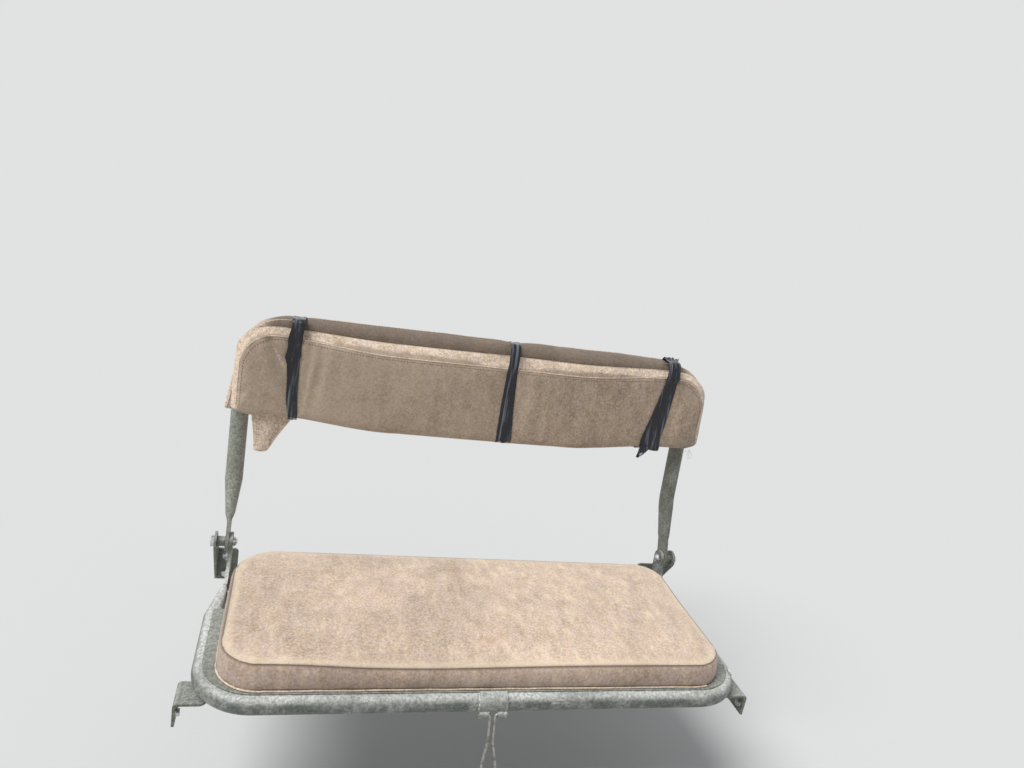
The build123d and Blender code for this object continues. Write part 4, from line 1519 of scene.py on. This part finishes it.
paint_mask(pad_front, "second_cloth", gusset_mask)
paint_mask(pad_front, "pale_wear_and_light", left_light_mask)
paint_mask(pad_rear, "second_cloth", end_mask)
paint_mask(pad_rear, "shade", roll_shade_and_grime)
paint_mask(flap, "second_cloth", lambda place: 1.0)
for piece in back_pieces:
    piece.data.transform(back_place)
    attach(piece, "backrest")
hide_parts("back_pad")
for name, band in bands.items():
    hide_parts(name)
print("backrest:", len(back_pieces), "pieces")

# %% [markdown]
# The latch plate and the pan are held by hand-made welds. A weld bead is a row of drops of metal that
# ran into each other, so overlapping balls along the joint are fused by a fine voxel remesh.

# %% Weld the latch plate and the pan
seat_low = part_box("seat_frame")[0]
plate_low, plate_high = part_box("latch_plate")
front_tube = Vector((0, seat_low.y + tube_radius, seat_low.z + tube_radius))
plate_weld, pan_weld = 2.3 * mm, 1.6 * mm
pan_edge, pan_top = 431.5, 31.8
noise.seed_set(1)  # without a seed, noise_vector starts from the clock


def weld_bead(name, points, radius):
    form = bmesh.new()
    for number, (place, _) in enumerate(spaced(points, radius * 0.9)):
        drift = noise.noise_vector(Vector((number * 1.7, points[0].x * 50, 3.3))) * radius * 0.35
        size = radius * (1 + 0.35 * noise.noise(Vector((number * 2.3, 1.1, points[0].x * 30))))
        centre = Matrix.Translation(place + drift)
        bmesh.ops.create_icosphere(form, subdivisions=2, radius=size, matrix=centre)
    bead = new_piece(name, form, paints["weld"])
    even_grid(bead, 0.6 * mm)
    return bead


def round_tube(x, first, last, lift):
    """Points round the front tube at x, from one angle to another; 90 is its top and 180 its front."""
    angles = [radians(first + (last - first) * step / 12) for step in range(13)]
    reach = tube_radius + lift
    return [front_tube + Vector((x, reach * cos(angle), reach * sin(angle))) for angle in angles]


def on_pan(sign, first, last):
    return [Vector((sign * pan_edge, y, pan_top)) * mm for y in (first, last)]


welds = [
    weld_bead("latch_weld_left", round_tube(plate_low.x, 98, 196, 0.8 * mm), plate_weld),
    weld_bead("latch_weld_right", round_tube(plate_high.x, 98, 196, 0.8 * mm), plate_weld),
    weld_bead("pan_weld_right", on_pan(1, -372, -358), pan_weld),
    weld_bead("pan_weld_left", on_pan(-1, -262, -246), pan_weld),
]
for weld in welds:
    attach(weld, "seat_base")
print("welds:", len(welds))

# %% [markdown]
# Each bracket is held to the panel by two M8 bolts, and each front rest to the wheelhouse by two M6
# ones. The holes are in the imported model, and the bolts are new meshes: a hexagon with its rim broken,
# on a plain washer.

# %% Fasten the brackets and the rests
washer_plate = 1.4 * mm
bolt_sizes = {"M8": (13, 5.3, 8), "M6": (10, 4.0, 6.2)}  # across flats, head height, washer radius
bracket_bolts = (429, -4, (("upper", 18), ("lower", -18)))  # across, flange face, heights
rest_bolts = (458, -21.3, (("front", -379), ("rear", -351)))  # wall face, height, places along


def hex_bolt(name, place, axis, size):
    flats, head, washer = (value * mm for value in bolt_sizes[size])
    form = bmesh.new()
    turn = Vector(axis).to_track_quat("Z", "Y").to_matrix().to_4x4()
    bmesh.ops.create_cone(form, cap_ends=True, segments=32, radius1=washer, radius2=washer,
                          depth=washer_plate, matrix=Matrix.Translation((0, 0, washer_plate / 2)))
    bmesh.ops.create_cone(form, cap_ends=True, segments=6, radius1=flats / sqrt(3), radius2=flats / sqrt(3),
                          depth=head, matrix=Matrix.Translation((0, 0, washer_plate + head / 2)))
    top = washer_plate + head - 0.01 * mm
    rims = [edge for edge in form.edges if all(vert.co.z > top for vert in edge.verts)]
    bmesh.ops.bevel(form, geom=rims, offset=0.6 * mm, offset_type="OFFSET", segments=2, profile=0.5,
                    affect="EDGES", material=-1)
    bmesh.ops.transform(form, matrix=Matrix.Translation(Vector(place) * mm) @ turn, verts=form.verts)
    bolt = new_piece(name, form, zinc, smooth=False)
    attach(bolt, "mounting")
    return bolt


bolts = []
for side, sign in (("left", -1), ("right", 1)):
    x, y, levels = bracket_bolts
    for level, z in levels:
        bolts.append(hex_bolt("bracket_bolt_" + side + "_" + level, (sign * x, y, z), (0, -1, 0), "M8"))
    x, z, ends = rest_bolts
    for end, y in ends:
        bolts.append(hex_bolt("rest_bolt_" + side + "_" + end, (sign * x, y, z), (-sign, 0, 0), "M6"))
print("bolts:", len(bolts))
